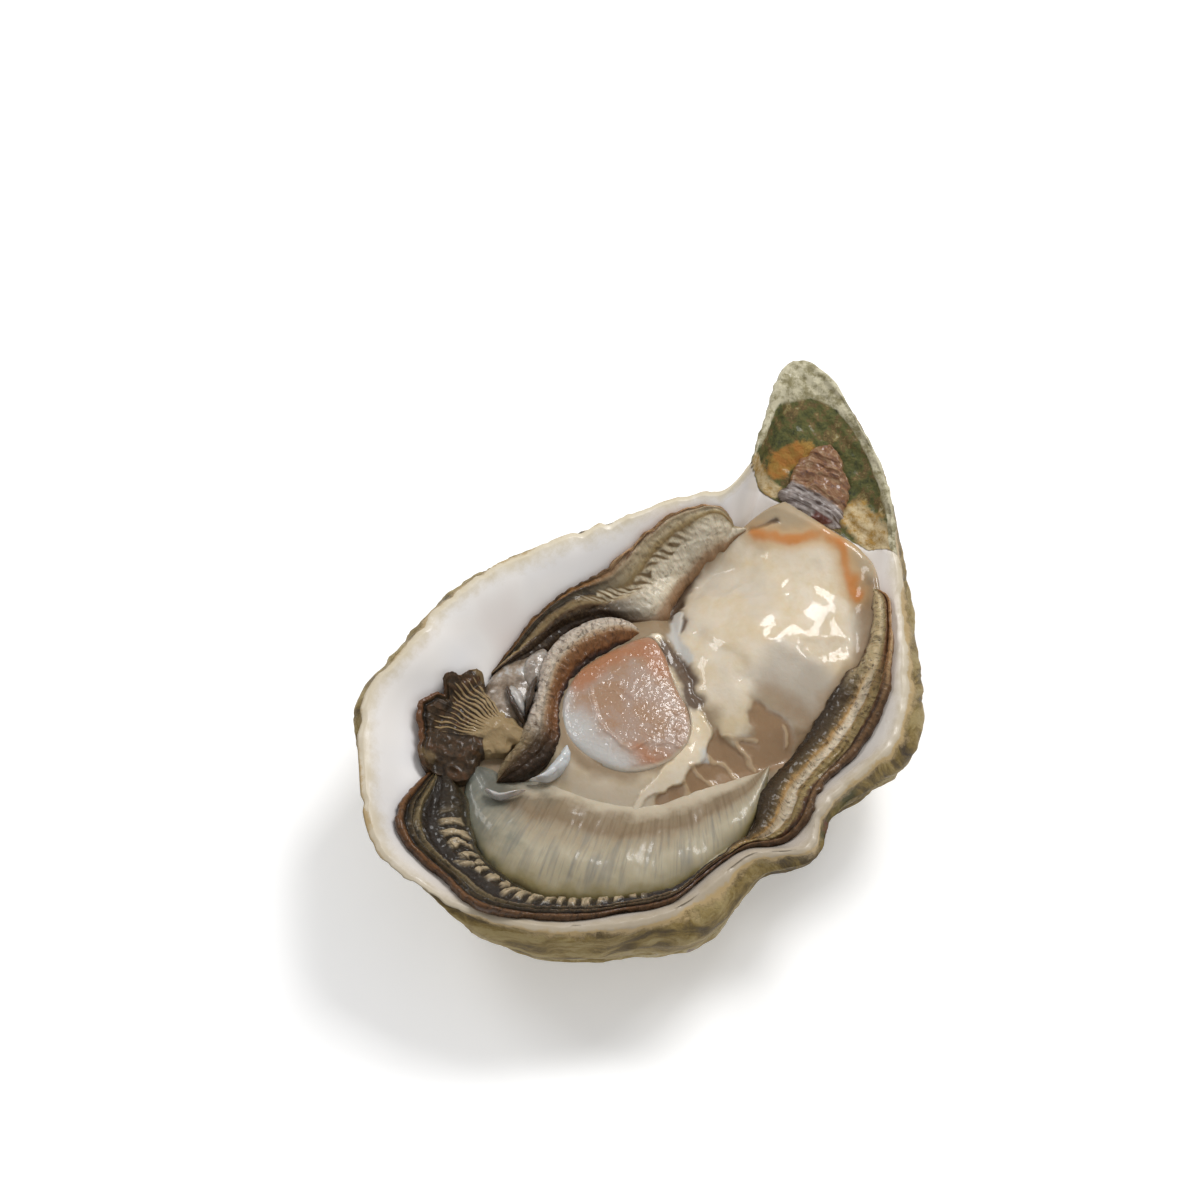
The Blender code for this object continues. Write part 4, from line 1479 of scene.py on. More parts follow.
@dataclass
class Muscle(Piece):
    """The adductor muscle: a short column with a slightly domed, glistening cut face."""

    name: str = "oyster_adductor_muscle"
    slot: str = "adductor_muscle"
    solid: str | None = "adductor_muscle"
    centre: tuple[float, float] = (-2.2, 1.6)
    outline: Keys = (
        (0, 8.8), (27, 7.9), (56, 7.2), (77, 8.2), (92, 10.2), (106, 12.0), (114, 11.4), (129, 10.2),
        (147, 9.6), (165, 9.5), (180, 9.4), (199, 9.4), (216, 9.3), (235, 9.2), (254, 8.9), (270, 8.8),
        (291, 8.9), (315, 8.8), (340, 9.0),
    )
    top: float = 18.7
    crown: float = 0.5
    rounding: float = 0.5
    bottom: float = 10.1
    around: int = 260
    rings: tuple[int, ...] = (4, 10, 90)
    milky: Line = field(default_factory=lambda: Line((
        (-11.9, 0.6), (-9.2, -1.4), (-6.2, -2.5), (-3.6, -3.5), (-0.8, -4.3), (1.6, -4.9), (2.2, -6.4),
        (0.5, -8.0), (-3.0, -8.6), (-7.4, -7.8), (-11.4, -4.4),
    ), closed=True))
    warm: Line = field(default_factory=lambda: Line(((-10.6, 2.0), (-9.6, 5.0), (-7.6, 8.2), (-5.4, 11.2),
        (-2.4, 10.0))))
    warm_patch: Line = field(default_factory=lambda: Line(((1.8, -3.6), (3.8, -4.0), (4.8, -2.8))))
    ruffle: Line = field(default_factory=lambda: Line((
        (-8.2, 1.6), (-6.4, -0.6), (-4.6, -2.4), (-2.2, -3.0), (-0.4, -4.0), (1.4, -3.6), (1.6, -1.4),
    )))
    grain: Grain = field(default_factory=lambda: Grain(31))
    finish: MuscleFinish = MuscleFinish()

    def place(self, ring: Array, angle: Array) -> Skin:
        """Lays the muscle out.

        Args:
            ring: Ring number of each point.
            angle: Angles round the form, in radians.

        Returns:
            The points, with their marks.
        """
        sections, shares = stations(self.rings)
        section, share = sections[ring], shares[ring]
        size = round_the_axis(self.outline, np.degrees(angle))
        out = np.select([section == i for i in range(3)], [share, 1.0, 1 - share])
        x = self.centre[0] + size * out * np.cos(angle)
        y = self.centre[1] + size * out * np.sin(angle)
        top = self.top - self.crown * out**3 - self.rounding * out**24
        rise = np.select([section == i for i in range(3)], [0.0, share, 1.0])
        points = np.stack([x, y, self.bottom + (top - self.bottom) * rise], axis=-1)
        spots = np.stack([x, y, np.zeros_like(x)], axis=-1)
        wander = 0.7 * self.grain.at(spots, 2.6, 3)
        wx, wy = x + wander, y - wander
        marks = {
            "milky": self.milky.within(wx, wy, 5.0),
            "warm": np.maximum(self.warm.near(wx, wy, 3.4), 0.8 * self.warm_patch.near(wx, wy, 2.6)),
            "pale_edge": ease(out, 0.9, 1.0) * bump_round(np.degrees(angle), 325.0, 75.0),
            "ruffle": self.ruffle.near(wx, wy, 0.45),
            "face": (section == 2).astype(float),
            "out": out,
        }
        return Skin(points, marks)

    def relief(self, skin: Skin) -> Array:
        """Fibre ends that stand in worm-like wet ridges, and the ruffled edge of the milky part.

        Args:
            skin: The points and marks laid out so far.

        Returns:
            How far each point moves out, in millimetres.
        """
        marks = skin.marks
        worms = 1 - np.abs(self.grain.at(skin.points, 1.5, 2)) * 4.0
        some = ease(self.grain.at(skin.points + 20.0, 4.0), -0.25, 0.3)
        face = marks["face"] * ease(marks["out"], 1.0, 0.93)
        swell = 0.15 * self.grain.at(skin.points, 4.5, 1)
        ridges = 0.14 * np.clip(worms, 0, 1) * some * (1 - 0.8 * marks["milky"]) + 0.16 * marks["ruffle"]
        return face * (ridges + swell)

    def make(self) -> bpy.types.Object:
        """Builds the muscle."""
        obj = closed_form(self.name, self.around, sum(self.rings), self.place, self.relief)
        obj.data.materials.append(self.finish.material())
        return obj


@dataclass
class VisceralMass(Piece):
    """The full part of the body beside the muscle, with its torn edge, thin windows and cream strands."""

    name: str = "oyster_visceral_mass"
    slot: str = "visceral_mass"
    solid: str | None = "visceral_mass"
    bed: FleshBed = field(default_factory=FleshBed)
    around: int = 520
    rings: tuple[int, ...] = (5, 2, 140, 4, 6)
    crowding: float = 0.55
    crowd_at: float = 68.0
    muscle_centre: tuple[float, float] = (-2.2, 1.6)
    pocket: Keys = Muscle.outline
    pocket_gap: float = -0.15
    pocket_floor: float = 9.6
    pocket_rim: float = 1.5
    collar_height: float = 17.9
    collar_fall: float = 0.1
    edge_share: float = 1.01
    edge_thickness: float = 0.4
    sheet: float = 1.0
    sheet_blend: float = 1.4
    rounding: int = 3
    snug: float = 0.7
    hood: Line = field(default_factory=lambda: Line((
        (-6.0, 22.0), (-5.6, 27.0), (-4.4, 31.0), (-3.8, 34.0), (-2.4, 36.0), (0.4, 37.6), (3.4, 38.5),
        (7.0, 39.2), (11.5, 39.4), (15.4, 39.2), (18.6, 38.2), (20.8, 36.2), (22.0, 33.6), (22.6, 30.5),
        (22.8, 27.0), (23.0, 23.0), (23.4, 18.0), (22.4, 13.0), (15.0, 14.0), (5.0, 20.0),
    ), closed=True))
    cream: Line = field(default_factory=lambda: Line((
        (-1.6, 33.4), (-2.2, 30.0), (-3.2, 27.0), (-4.6, 24.0), (-4.6, 20.6), (-3.2, 16.6), (-0.2, 13.2),
        (3.0, 9.8), (5.4, 7.6), (8.2, 6.6), (8.8, 5.2), (9.6, 4.3), (11.6, 4.6), (12.8, 6.8), (11.6, 9.6),
        (11.4, 10.6), (14.5, 11.0), (18.5, 10.4), (20.2, 13.0), (20.6, 17.0), (21.0, 21.0), (21.4, 24.0),
        (20.6, 27.4), (18.6, 29.8), (16.6, 31.2), (14.6, 32.6), (13.2, 34.2), (12.0, 35.6), (10.6, 36.6),
        (9.0, 36.8), (7.6, 36.0), (6.0, 34.8), (4.0, 34.1), (1.0, 33.8),
    ), closed=True))
    glassy: Line = field(default_factory=lambda: Line((
        (10.4, 18.8), (14.5, 19.8), (19.8, 19.6), (21.0, 14.0), (20.4, 9.4), (17.8, 10.6), (12.2, 10.8),
        (10.8, 13.5),
    ), closed=True))
    upper_window: Line = field(default_factory=lambda: Line((
        (11.6, 10.2), (16.5, 10.4), (18.6, 9.0), (19.4, 5.8), (17.0, 3.0), (14.2, 3.6), (11.4, 4.8),
        (14.0, 6.5), (12.6, 8.0),
    ), closed=True))
    lower_window: Line = field(default_factory=lambda: Line((
        (8.9, 4.7), (10.4, 4.1), (13.6, 3.4), (16.4, 2.6), (15.4, 0.2), (12.6, -1.8), (10.0, -4.8),
        (7.0, -8.6), (6.5, -6.4), (7.6, -3.0), (8.6, -0.8), (9.9, 0.6), (8.9, 2.0),
    ), closed=True))
    strand: Line = field(default_factory=lambda: Line((
        (-4.2, 12.9), (-1.6, 10.6), (0.8, 8.8), (3.4, 7.0), (5.6, 5.0), (7.2, 3.2), (7.8, 1.2), (7.7, -0.8),
        (7.2, -2.8), (6.4, -5.2), (5.4, -7.4), (4.6, -9.6),
    )))
    foot: Line = field(default_factory=lambda: Line((
        (-11.4, -8.6), (-7.4, -10.6), (-3.0, -11.4), (1.2, -10.8), (4.4, -9.2), (6.0, -7.0),
    )))
    threads: tuple[Line, ...] = field(default_factory=lambda: (
        Line(((10.2, 4.3), (12.0, 5.0), (14.4, 6.3))),
        Line(((11.8, 4.6), (13.6, 3.5), (15.6, 2.7))),
        Line(((9.6, 0.9), (11.8, 1.1), (14.2, 0.5))),
        Line(((8.4, -1.6), (10.4, -1.8), (12.2, -2.0))),
        Line(((17.0, 9.6), (17.6, 8.8), (18.2, 7.6))),
        Line(((8.3, -4.0), (9.6, -4.6))),
    ))
    palp: Line = field(default_factory=lambda: Line((
        (0.2, 33.9), (1.6, 33.8), (3.0, 34.1), (4.6, 34.8), (6.2, 35.7), (7.6, 36.8), (9.2, 37.5),
        (10.8, 37.3),
        (12.2, 36.4), (13.4, 35.0), (14.5, 33.6), (15.6, 32.4), (17.2, 31.4),
    )))
    flank: Line = field(default_factory=lambda: Line((
        (17.2, 31.4), (19.4, 29.0), (20.9, 26.0), (21.4, 23.0), (20.8, 20.0), (20.4, 16.0), (20.0, 12.5),
        (18.8, 9.6),
    )))
    creases: tuple[Line, ...] = field(default_factory=lambda: (
        Line(((14.6, 20.8), (16.6, 21.6), (18.4, 23.6))),
        Line(((3.0, 25.0), (5.6, 26.4), (8.6, 29.0), (9.6, 32.0))),
        Line(((-2.4, 23.4), (0.0, 24.6), (1.6, 27.6), (1.8, 31.0))),
        Line(((8.8, 20.4), (9.6, 23.6), (8.8, 26.8))),
        Line(((0.4, 15.8), (3.4, 14.4), (6.6, 14.8), (9.2, 12.4))),
    ))
    dusk_patches: tuple[Line, ...] = field(default_factory=lambda: (
        Line(((-3.0, 12.6), (-1.0, 11.5), (0.9, 10.4), (2.6, 9.0))),
        Line(((2.6, 9.0), (3.9, 7.6), (4.9, 6.5))),
        Line(((-5.4, 25.2), (-5.3, 22.6), (-5.0, 20.6))),
        Line(((-4.4, 19.0), (-3.0, 17.2))),
    ))
    dark_streak: Line = field(default_factory=lambda: Line(((-0.6, 34.0), (0.9, 35.2), (2.0, 36.2))))
    frost_patches: tuple[Line, ...] = field(default_factory=lambda: (
        Line(((-3.9, 18.6), (-3.0, 15.9), (-1.2, 14.1), (0.8, 12.2))),
        Line(((9.0, 1.1), (9.6, 0.4))),
    ))
    grain: Grain = field(default_factory=lambda: Grain(23))
    finish: BodyFinish = BodyFinish()

    def pocket_radius(self, angle: Array) -> Array:
        """Radius of the muscle's pocket."""
        return round_the_axis(self.pocket, np.degrees(angle)) + self.pocket_gap

    def top(self, x: Array, y: Array) -> Array:
        """Height of the body: the bed's, a thin sheet up the cup's wall, and a collar round the muscle.

        Args:
            x: Places to the right, in millimetres.
            y: Places towards the hinge, in millimetres.

        Returns:
            The heights, in millimetres.
        """
        sheet = self.bed.cup.cavity(x, y)[0] + self.sheet
        top = smooth_max(self.bed.top(x, y), sheet, self.sheet_blend)
        dx, dy = x - self.muscle_centre[0], y - self.muscle_centre[1]
        off = np.hypot(dx, dy) - self.pocket_radius(np.arctan2(dy, dx))
        return smooth_max(top, self.collar_height - self.collar_fall * off**2, 0.8)

    def reach(self, angle: Array) -> Array:
        """How far the body reaches from the muscle's centre before the cup's wall cuts it off.

        Args:
            angle: Angles round the form, in radians.

        Returns:
            The distances, in millimetres.
        """
        compass = np.radians(np.arange(360.0))
        reach = self.pocket_radius(compass) + self.pocket_rim
        open_still = np.ones(compass.shape, bool)
        gap = self.bed.wall_gap - self.snug
        for distance in np.arange(float(reach.max()), self.bed.cup.hinge_distance + self.snug, 0.1):
            x = self.muscle_centre[0] + distance * np.cos(compass)
            y = self.muscle_centre[1] + distance * np.sin(compass)
            floor, out = self.bed.cup.cavity(x, y)
            deep = self.bed.top(x, y) > floor + gap + self.edge_thickness
            open_still &= (deep | (self.hood.depth(x, y) > 0)) & (out < self.edge_share)
            reach = np.where(open_still, distance, reach)
        nearby = range(-self.rounding, self.rounding + 1)
        least = np.min([np.roll(reach, shift) for shift in nearby], axis=0)
        rounded = np.mean([np.roll(least, shift) for shift in nearby], axis=0)
        return np.interp(np.degrees(angle) % 360.0, np.arange(361.0), np.append(rounded, rounded[0]))

    def place(self, ring: Array, angle: Array) -> Skin:
        """Lays the body out from the cup's floor up over its edge and in to the muscle's pocket.

        Args:
            ring: Ring number of each point.
            angle: Angles round the form, in radians.

        Returns:
            The points, with their marks.
        """
        sections, shares = stations(self.rings)
        section, share = sections[ring], shares[ring]
        angle = angle - self.crowding * np.sin(angle - math.radians(self.crowd_at))
        reach, pocket = self.reach(angle), self.pocket_radius(angle)
        distance = np.select(
            [section == i for i in range(5)],
            [
                reach * share,
                reach,
                reach + (pocket - reach) * share,
                pocket,
                pocket * (1 - share),
            ],
        )
        x = self.muscle_centre[0] + distance * np.cos(angle)
        y = self.muscle_centre[1] + distance * np.sin(angle)
        floor = self.bed.cup.cavity(x, y)[0] + self.bed.wall_gap - self.snug
        edge = np.clip((reach - distance) / self.sheet_blend, 0.0, 1.0)
        edge = np.sqrt(1 - (1 - edge) ** 2)
        thick = np.maximum(self.top(x, y) - floor, self.edge_thickness)
        top = floor + thick * (0.1 + 0.9 * edge)
        height = np.select([section <= 1, section <= 3], [floor, top], self.pocket_floor)
        marks = self.areas(x, y)
        marks["on_top"] = (section == 2) * edge
        return Skin(np.stack([x, y, height], axis=-1), marks)

    def areas(self, x: Array, y: Array) -> dict[str, Array]:
        """How strongly each kind of flesh shows at each place.

        Args:
            x: Places across the shell.
            y: Places along the shell.

        Returns:
            Marks from 0 to 1 by name.
        """
        spots = np.stack([x, y, np.zeros_like(x)], axis=-1)
        wx = x + 0.4 * self.grain.at(spots, 2.0, 3)
        wy = y + 0.4 * self.grain.at(spots + 40.0, 2.0, 3)
        cream = self.cream.within(wx, wy, 2.0)
        palp = self.palp.distance(wx, wy)
        foot = ease(self.foot.distance(wx, wy), 3.4, 1.6)
        window = np.maximum(self.upper_window.within(wx, wy, 1.1), self.lower_window.within(wx, wy, 0.9))
        slender = 0.3 + 0.7 * ease(y, -9.5, -3.5)
        strand = ease(self.strand.distance(wx, wy) / slender, 1.7, 0.9)
        dusk = np.max([line.near(wx, wy, 2.1) for line in self.dusk_patches], axis=0)
        frost = np.max([line.near(wx, wy, 1.6) for line in self.frost_patches], axis=0)
        low_down = self.glassy.within(wx, wy, 4.5) * ease(wy, 17.0, 10.5)
        streak = 0.9 * self.dark_streak.near(wx, wy, 0.75)
        return {
            "cream": np.maximum(np.maximum(cream, strand), 0.6 * foot),
            "glassy": self.glassy.within(wx, wy, 6.0),
            "brown": np.maximum(0.9 * self.flank.near(wx, wy, 3.0), low_down) * (1 - window),
            "window": window * (1 - strand),
            "strand": strand,
            "thread": np.max([line.near(wx, wy, 0.5) for line in self.threads], axis=0),
            "crease": np.max([line.near(wx, wy, 1.8) for line in self.creases], axis=0),
            "palp": ease(palp, 1.6, 0.0) * (0.95 + 0.3 * self.grain.at(spots + 9.0, 3.0, 2)),
            "palp_glow": ease(palp, 3.2, 0.4),
            "dusk": np.maximum(dusk * (1 - ease(frost, 0.2, 0.6)), streak),
            "frost": frost,
            "hood": ease(wy, 33.0, 35.5) * (1 - cream),
        }

    def relief(self, skin: Skin) -> Array:
        """Swells, wrinkles, the torn edge that stands over the windows, and the strands across them.

        Args:
            skin: The points and marks laid out so far.

        Returns:
            How far each point moves out, in millimetres.
        """
        points, marks = skin.points, skin.marks
        swell = 0.3 * self.grain.at(points, 7.0, 2)
        wrinkle = 0.02 * (1 - 2 * np.abs(self.grain.at(points, 4.2, 2)))
        full = 0.2 * marks["cream"] + 0.2 * marks["strand"] - 0.22 * marks["crease"]
        thin = -0.22 * marks["window"] + 0.15 * marks["thread"]
        ridge = 0.15 * marks["palp"] - 0.3 * marks["dusk"]
        return marks["on_top"] * (swell + wrinkle + full + thin + ridge)

    def make(self) -> bpy.types.Object:
        """Builds the visceral mass."""
        obj = closed_form(self.name, self.around, sum(self.rings), self.place, self.relief)
        obj.data.materials.append(self.finish.material())
        return obj




# Bands of flesh ------------------------------------------------------------------------------------------


@dataclass(frozen=True)
class Fold:
    """A ridge along a band, or a groove if it is less than 0 high.

    `at` is its place across the band, 0 to 1, at the band's start and end; `height` likewise.
    """

    at: tuple[float, float]
    spread: float
    height: tuple[float, float]

    def lift(self, across: Array, share: Array) -> Array:
        """Height of the fold at each place on the band.

        Args:
            across: Place across the band, 0 to 1.
            share: Share of the whole, 0 to 1.

        Returns:
            The heights, in millimetres.
        """
        turn = ease(share, 0.2, 0.8)
        middle = self.at[0] + (self.at[1] - self.at[0]) * turn
        height = self.height[0] + (self.height[1] - self.height[0]) * turn
        return height * bump(across, middle, self.spread)


@dataclass(frozen=True)
class Comb:
    """A row of papillae across a band: where it lies, how wide the row is, and the papillae's pitch.

    `stray` is how far the row's ends wander across the band, `uneven` how far the pitch does, and
    `gap` is the wave's level at which a papilla begins and is full.
    """

    at: tuple[float, float]
    half_width: float
    pitch: float
    height: float
    span: tuple[float, float] = (0.0, 1.0)
    fade: float = 0.06
    lean: float = 0.0
    stray: float = 0.04
    uneven: float = 0.22
    gap: tuple[float, float] = (-0.35, 0.5)

    def read(
        self, across: Array, share: Array, along: Array, side: Array, jitter: Array
    ) -> tuple[Array, Array]:
        """How strongly each place is part of a papilla, and of the row.

        Args:
            across: Place across the band, 0 to 1.
            share: Share of the way along it.
            along: Distance along it.
            side: Distance from its middle line.
            jitter: Noise that makes the papillae uneven.

        Returns:
            The papillae and the row, both from 0 to 1.
        """
        middle = self.at[0] + (self.at[1] - self.at[0]) * share
        off = np.abs(across - middle + self.stray * jitter)
        row = ease(off, self.half_width, self.half_width * 0.6)
        row = row * ease(share, self.span[0], self.span[0] + self.fade)
        row = row * ease(share, self.span[1], self.span[1] - self.fade)
        wave = np.cos(2 * math.pi * ((along + self.lean * side) / self.pitch + self.uneven * jitter))
        return ease(wave, *self.gap), row


class Strip:
    """A strip of flesh between two lines in plan, with a thickness at each pair of keys."""

    def __init__(self, keys: Keys) -> None:
        """Takes rows of (x, y) on one line, (x, y) on the other, and the thickness between them."""
        self.rows = np.array(keys, float)
        middle = (self.rows[:, 0:2] + self.rows[:, 2:4]) / 2
        self.reach = np.concatenate([[0.0], np.cumsum(np.hypot(*np.diff(middle, axis=0).T))])

    @property
    def length(self) -> float:
        """Length along the middle."""
        return float(self.reach[-1])

    def at(self, share: Array) -> Array:
        """Rows of both lines' points and the thickness, at each share of the way along."""
        along = np.clip(share, 0.0, 1.0) * self.length
        return np.stack([hermite(self.reach, column, along) for column in self.rows.T], axis=-1)


@dataclass
class Band(Piece):
    """A band of soft flesh between two lines, with folds, papillae, frilled sides and a wet surface."""

    keys: Keys = ()
    finish: MantleFinish | GillFinish | LigamentFinish | None = None
    lies_on: Callable[[Array, Array], Array] | None = None
    around: int = 120
    rings: int = 300
    upper: float = 0.86
    blunt: float = 7.0
    round_side: tuple[float, float] = (0.6, 0.6)
    folds: tuple[Fold, ...] = ()
    comb: Comb | None = None
    frill: float = 0.22
    frill_size: float = 1.3
    wrinkle: float = 0.10
    wrinkle_size: float = 1.1
    swell: float = 0.12
    fall: float = 0.0
    sink: float = 0.8
    seed: int = 1

    def place(self, ring: Array, angle: Array) -> Skin:
        """Lays the band's rings between its two lines.

        Args:
            ring: Ring number of each point.
            angle: Angles round the form, in radians.

        Returns:
            The points, with their marks.
        """
        strip, grain = Strip(self.keys), Grain(self.seed)
        share = ring / self.rings
        angle = mostly_on_top(angle, self.upper)
        x0, y0, x1, y1, thickness = strip.at(share).T
        blunt = np.sqrt(np.maximum(1 - np.abs(2 * share - 1) ** self.blunt, 0.0))
        side = np.cos(angle)
        thickness = thickness * (1 - self.fall * ease(side, -1.0, 1.0))
        half = np.maximum(np.hypot(x1 - x0, y1 - y0) / 2, 1e-6)
        along = share * strip.length
        spots = np.stack([along, 6.0 * np.sign(side), np.zeros_like(along)], axis=-1)
        frill = self.frill * np.abs(side) ** 6 * np.sign(side) * grain.at(spots, self.frill_size, 2)
        offset = blunt * (half * side + frill)
        x = (x0 + x1) / 2 + (x1 - x0) / 2 * offset / half
        y = (y0 + y1) / 2 + (y1 - y0) / 2 * offset / half
        across = (side + 1) / 2
        flow = np.stack([along, offset, np.zeros_like(along)], axis=-1)
        power = self.round_side[0] + (self.round_side[1] - self.round_side[0]) * across
        lift = np.where(np.sin(angle) > 1e-6, np.abs(np.sin(angle)) ** power, 0.0)
        marks = {"across": across, "share": share, "flow": flow, "upper": lift * blunt}
        marks["teeth"], marks["tooth_row"] = np.zeros_like(share), np.zeros_like(share)
        if self.comb:
            jitter = grain.at(flow, 2.0, 2)
            marks["teeth"], marks["tooth_row"] = self.comb.read(across, share, along, offset, jitter)
        height = self.lies_on(x, y) - self.sink + (thickness * blunt + self.sink) * lift
        return Skin(np.stack([x, y, height], axis=-1), marks)

    def relief(self, skin: Skin) -> Array:
        """Folds along the band, papillae across it, and fine wrinkles.

        Args:
            skin: The points and marks laid out so far.

        Returns:
            How far each point moves out, in millimetres.
        """
        marks = skin.marks
        total = np.zeros(len(skin.points))
        for fold in self.folds:
            total = total + fold.lift(marks["across"], marks["share"])
        if self.comb:
            total = total + self.comb.height * (marks["teeth"] - 0.5) * marks["tooth_row"]
        grain = Grain(self.seed + 1)
        wrinkle = 1 - 2 * np.abs(grain.at(skin.points, self.wrinkle_size, 2))
        swell = grain.at(skin.points, 3.5, 1)
        return marks["upper"] * (total + self.wrinkle * wrinkle + self.swell * swell)

    def make(self) -> bpy.types.Object:
        """Builds the band."""
        obj = closed_form(self.name, self.around, self.rings, self.place, self.relief)
        obj.data.materials.append(self.finish.material())
        return obj


def gills(bed: FleshBed) -> Band:
    """The gills: a broad sheet of filaments below the muscle, from its outer line to its inner line.

    Args:
        bed: The flesh that it lies on.

    Returns:
        The gills.
    """
    return Band(
        name="oyster_gills", slot="gills", solid="gills", lies_on=bed.support,
        keys=(
            (-18.0, -15.8, -17.8, -13.6, 0.3), (-17.4, -18.0, -15.8, -13.0, 0.5),
            (-15.6, -20.6, -13.4, -13.6, 0.8),
            (-13.4, -23.0, -11.4, -13.4, 1.2), (-10.6, -25.3, -9.6, -12.6, 1.6),
            (-7.2, -26.9, -7.4, -11.7, 1.9),
            (-3.2, -27.5, -4.8, -10.9, 2.2), (0.2, -27.2, -2.2, -10.3, 2.3), (3.3, -26.1, 0.4, -9.9, 2.3),
            (6.3, -24.5, 3.0, -9.2, 2.3), (9.3, -22.9, 5.2, -8.6, 2.2), (12.2, -20.7, 7.0, -7.7, 2.2),
            (14.8, -18.1, 8.5, -5.9, 2.1), (16.7, -15.1, 9.9, -4.2, 2.0), (18.0, -11.8, 11.4, -2.5, 1.9),
            (19.0, -8.4, 12.9, -0.9, 1.8), (19.3, -5.2, 14.3, 0.6, 1.7), (19.0, -1.6, 15.5, 2.0, 1.5),
            (18.4, 2.0, 16.3, 3.1, 1.2), (17.7, 4.0, 16.9, 4.2, 0.9),
        ),
        around=120, rings=360, blunt=12.0, round_side=(1.0, 1.0), fall=0.6,
        folds=(
            Fold((0.1, 0.1), 0.08, (-0.15, -0.15)), Fold((0.62, 0.64), 0.12, (-0.15, -0.1)),
            Fold((0.84, 0.88), 0.1, (0.1, 0.1)),
        ),
        comb=Comb(at=(0.4, 0.45), half_width=0.34, pitch=1.1, height=0.02, span=(0.05, 0.97), uneven=0.3),
        frill=0.12, wrinkle=0.03, wrinkle_size=2.0, swell=0.3, sink=0.6, seed=41, finish=GillFinish(),
    )


def lower_mantle(bed: FleshBed) -> Band:
    """The dark mantle edge along the near rim, from its outer line to its inner line.

    Args:
        bed: The flesh that it lies on.

    Returns:
        The band.
    """
    return Band(
        name="oyster_lower_mantle", slot="lower_mantle", solid="lower_mantle", lies_on=bed.support,
        keys=(
            (-23.4, -17.2, -19.6, -17.0, 1.3), (-23.4, -19.2, -17.0, -17.4, 1.8),
            (-23.1, -22.2, -14.9, -18.9, 2.0),
            (-22.7, -25.4, -13.5, -21.6, 2.1), (-21.4, -28.4, -11.8, -23.8, 2.1),
            (-19.0, -30.4, -9.8, -25.3, 2.0),
            (-15.4, -31.6, -7.6, -26.2, 2.0), (-11.6, -32.8, -5.3, -26.7, 2.0),
            (-8.0, -34.4, -3.0, -26.9, 1.9),
            (-4.4, -34.5, -0.6, -26.8, 1.9), (-0.6, -33.0, 2.0, -26.0, 1.8), (3.6, -30.8, 4.6, -24.6, 1.8),
            (7.8, -27.9, 7.4, -23.0, 1.7), (10.8, -24.9, 10.2, -21.4, 1.6), (13.6, -22.8, 12.6, -19.4, 1.6),
            (15.8, -20.4, 14.6, -17.4, 1.5), (16.8, -17.2, 16.0, -15.0, 1.4), (18.0, -13.6, 17.1, -12.2, 1.3),
            (19.8, -10.4, 18.3, -9.4, 1.3), (21.4, -8.2, 19.4, -6.8, 1.0),
        ),
        around=140, rings=440, round_side=(0.6, 0.75),
        folds=(
            Fold((0.06, 0.07), 0.035, (0.25, 0.25)), Fold((0.145, 0.18), 0.03, (-0.5, -0.35)),
            Fold((0.2, 0.25), 0.022, (0.2, 0.2)), Fold((0.235, 0.31), 0.022, (-0.35, -0.3)),
            Fold((0.28, 0.37), 0.03, (0.35, 0.25)), Fold((0.34, 0.43), 0.03, (-0.3, -0.3)),
            Fold((0.45, 0.54), 0.08, (-0.5, -0.35)), Fold((0.7, 0.74), 0.12, (0.3, 0.2)),
            Fold((0.92, 0.92), 0.06, (-0.45, -0.35)),
        ),
        comb=Comb(
            at=(0.72, 0.76), half_width=0.19, pitch=1.85, height=0.5, span=(0.1, 0.74), lean=0.3, stray=0.07,
            uneven=0.3, gap=(-0.5, 0.1),
        ),
        frill=0.3, wrinkle=0.1, seed=43,
        finish=MantleFinish(
            name="raw_oyster_mantle_near",
            start=(
                (0.0, "4A3322"), (0.07, "6A4829"), (0.11, "3A281A"), (0.145, "1C1610"), (0.19, "4E4029"),
                (0.22, "1C1610"), (0.27, "6E5F43"), (0.31, "6E5F43"), (0.35, "2A2218"), (0.44, "2C2520"),
                (0.56, "30281F"), (0.86, "3A3020"), (0.93, "2E281C"), (1.0, "544B33"),
            ),
            end=(
                (0.0, "4E3826"), (0.08, "65492F"), (0.13, "43302A"), (0.18, "221A15"), (0.24, "5E4E38"),
                (0.30, "221C18"), (0.36, "6A5A42"), (0.42, "2A231D"), (0.54, "2E2825"), (0.64, "302926"),
                (0.80, "473C2C"), (0.90, "382F24"), (1.0, "66593A"),
            ),
            tooth="AC9A7C", tooth_gap="2E2519", mottle="1E1710", speckle=0.6, turn=(0.3, 0.6), wear=0.25,
        ),
    )


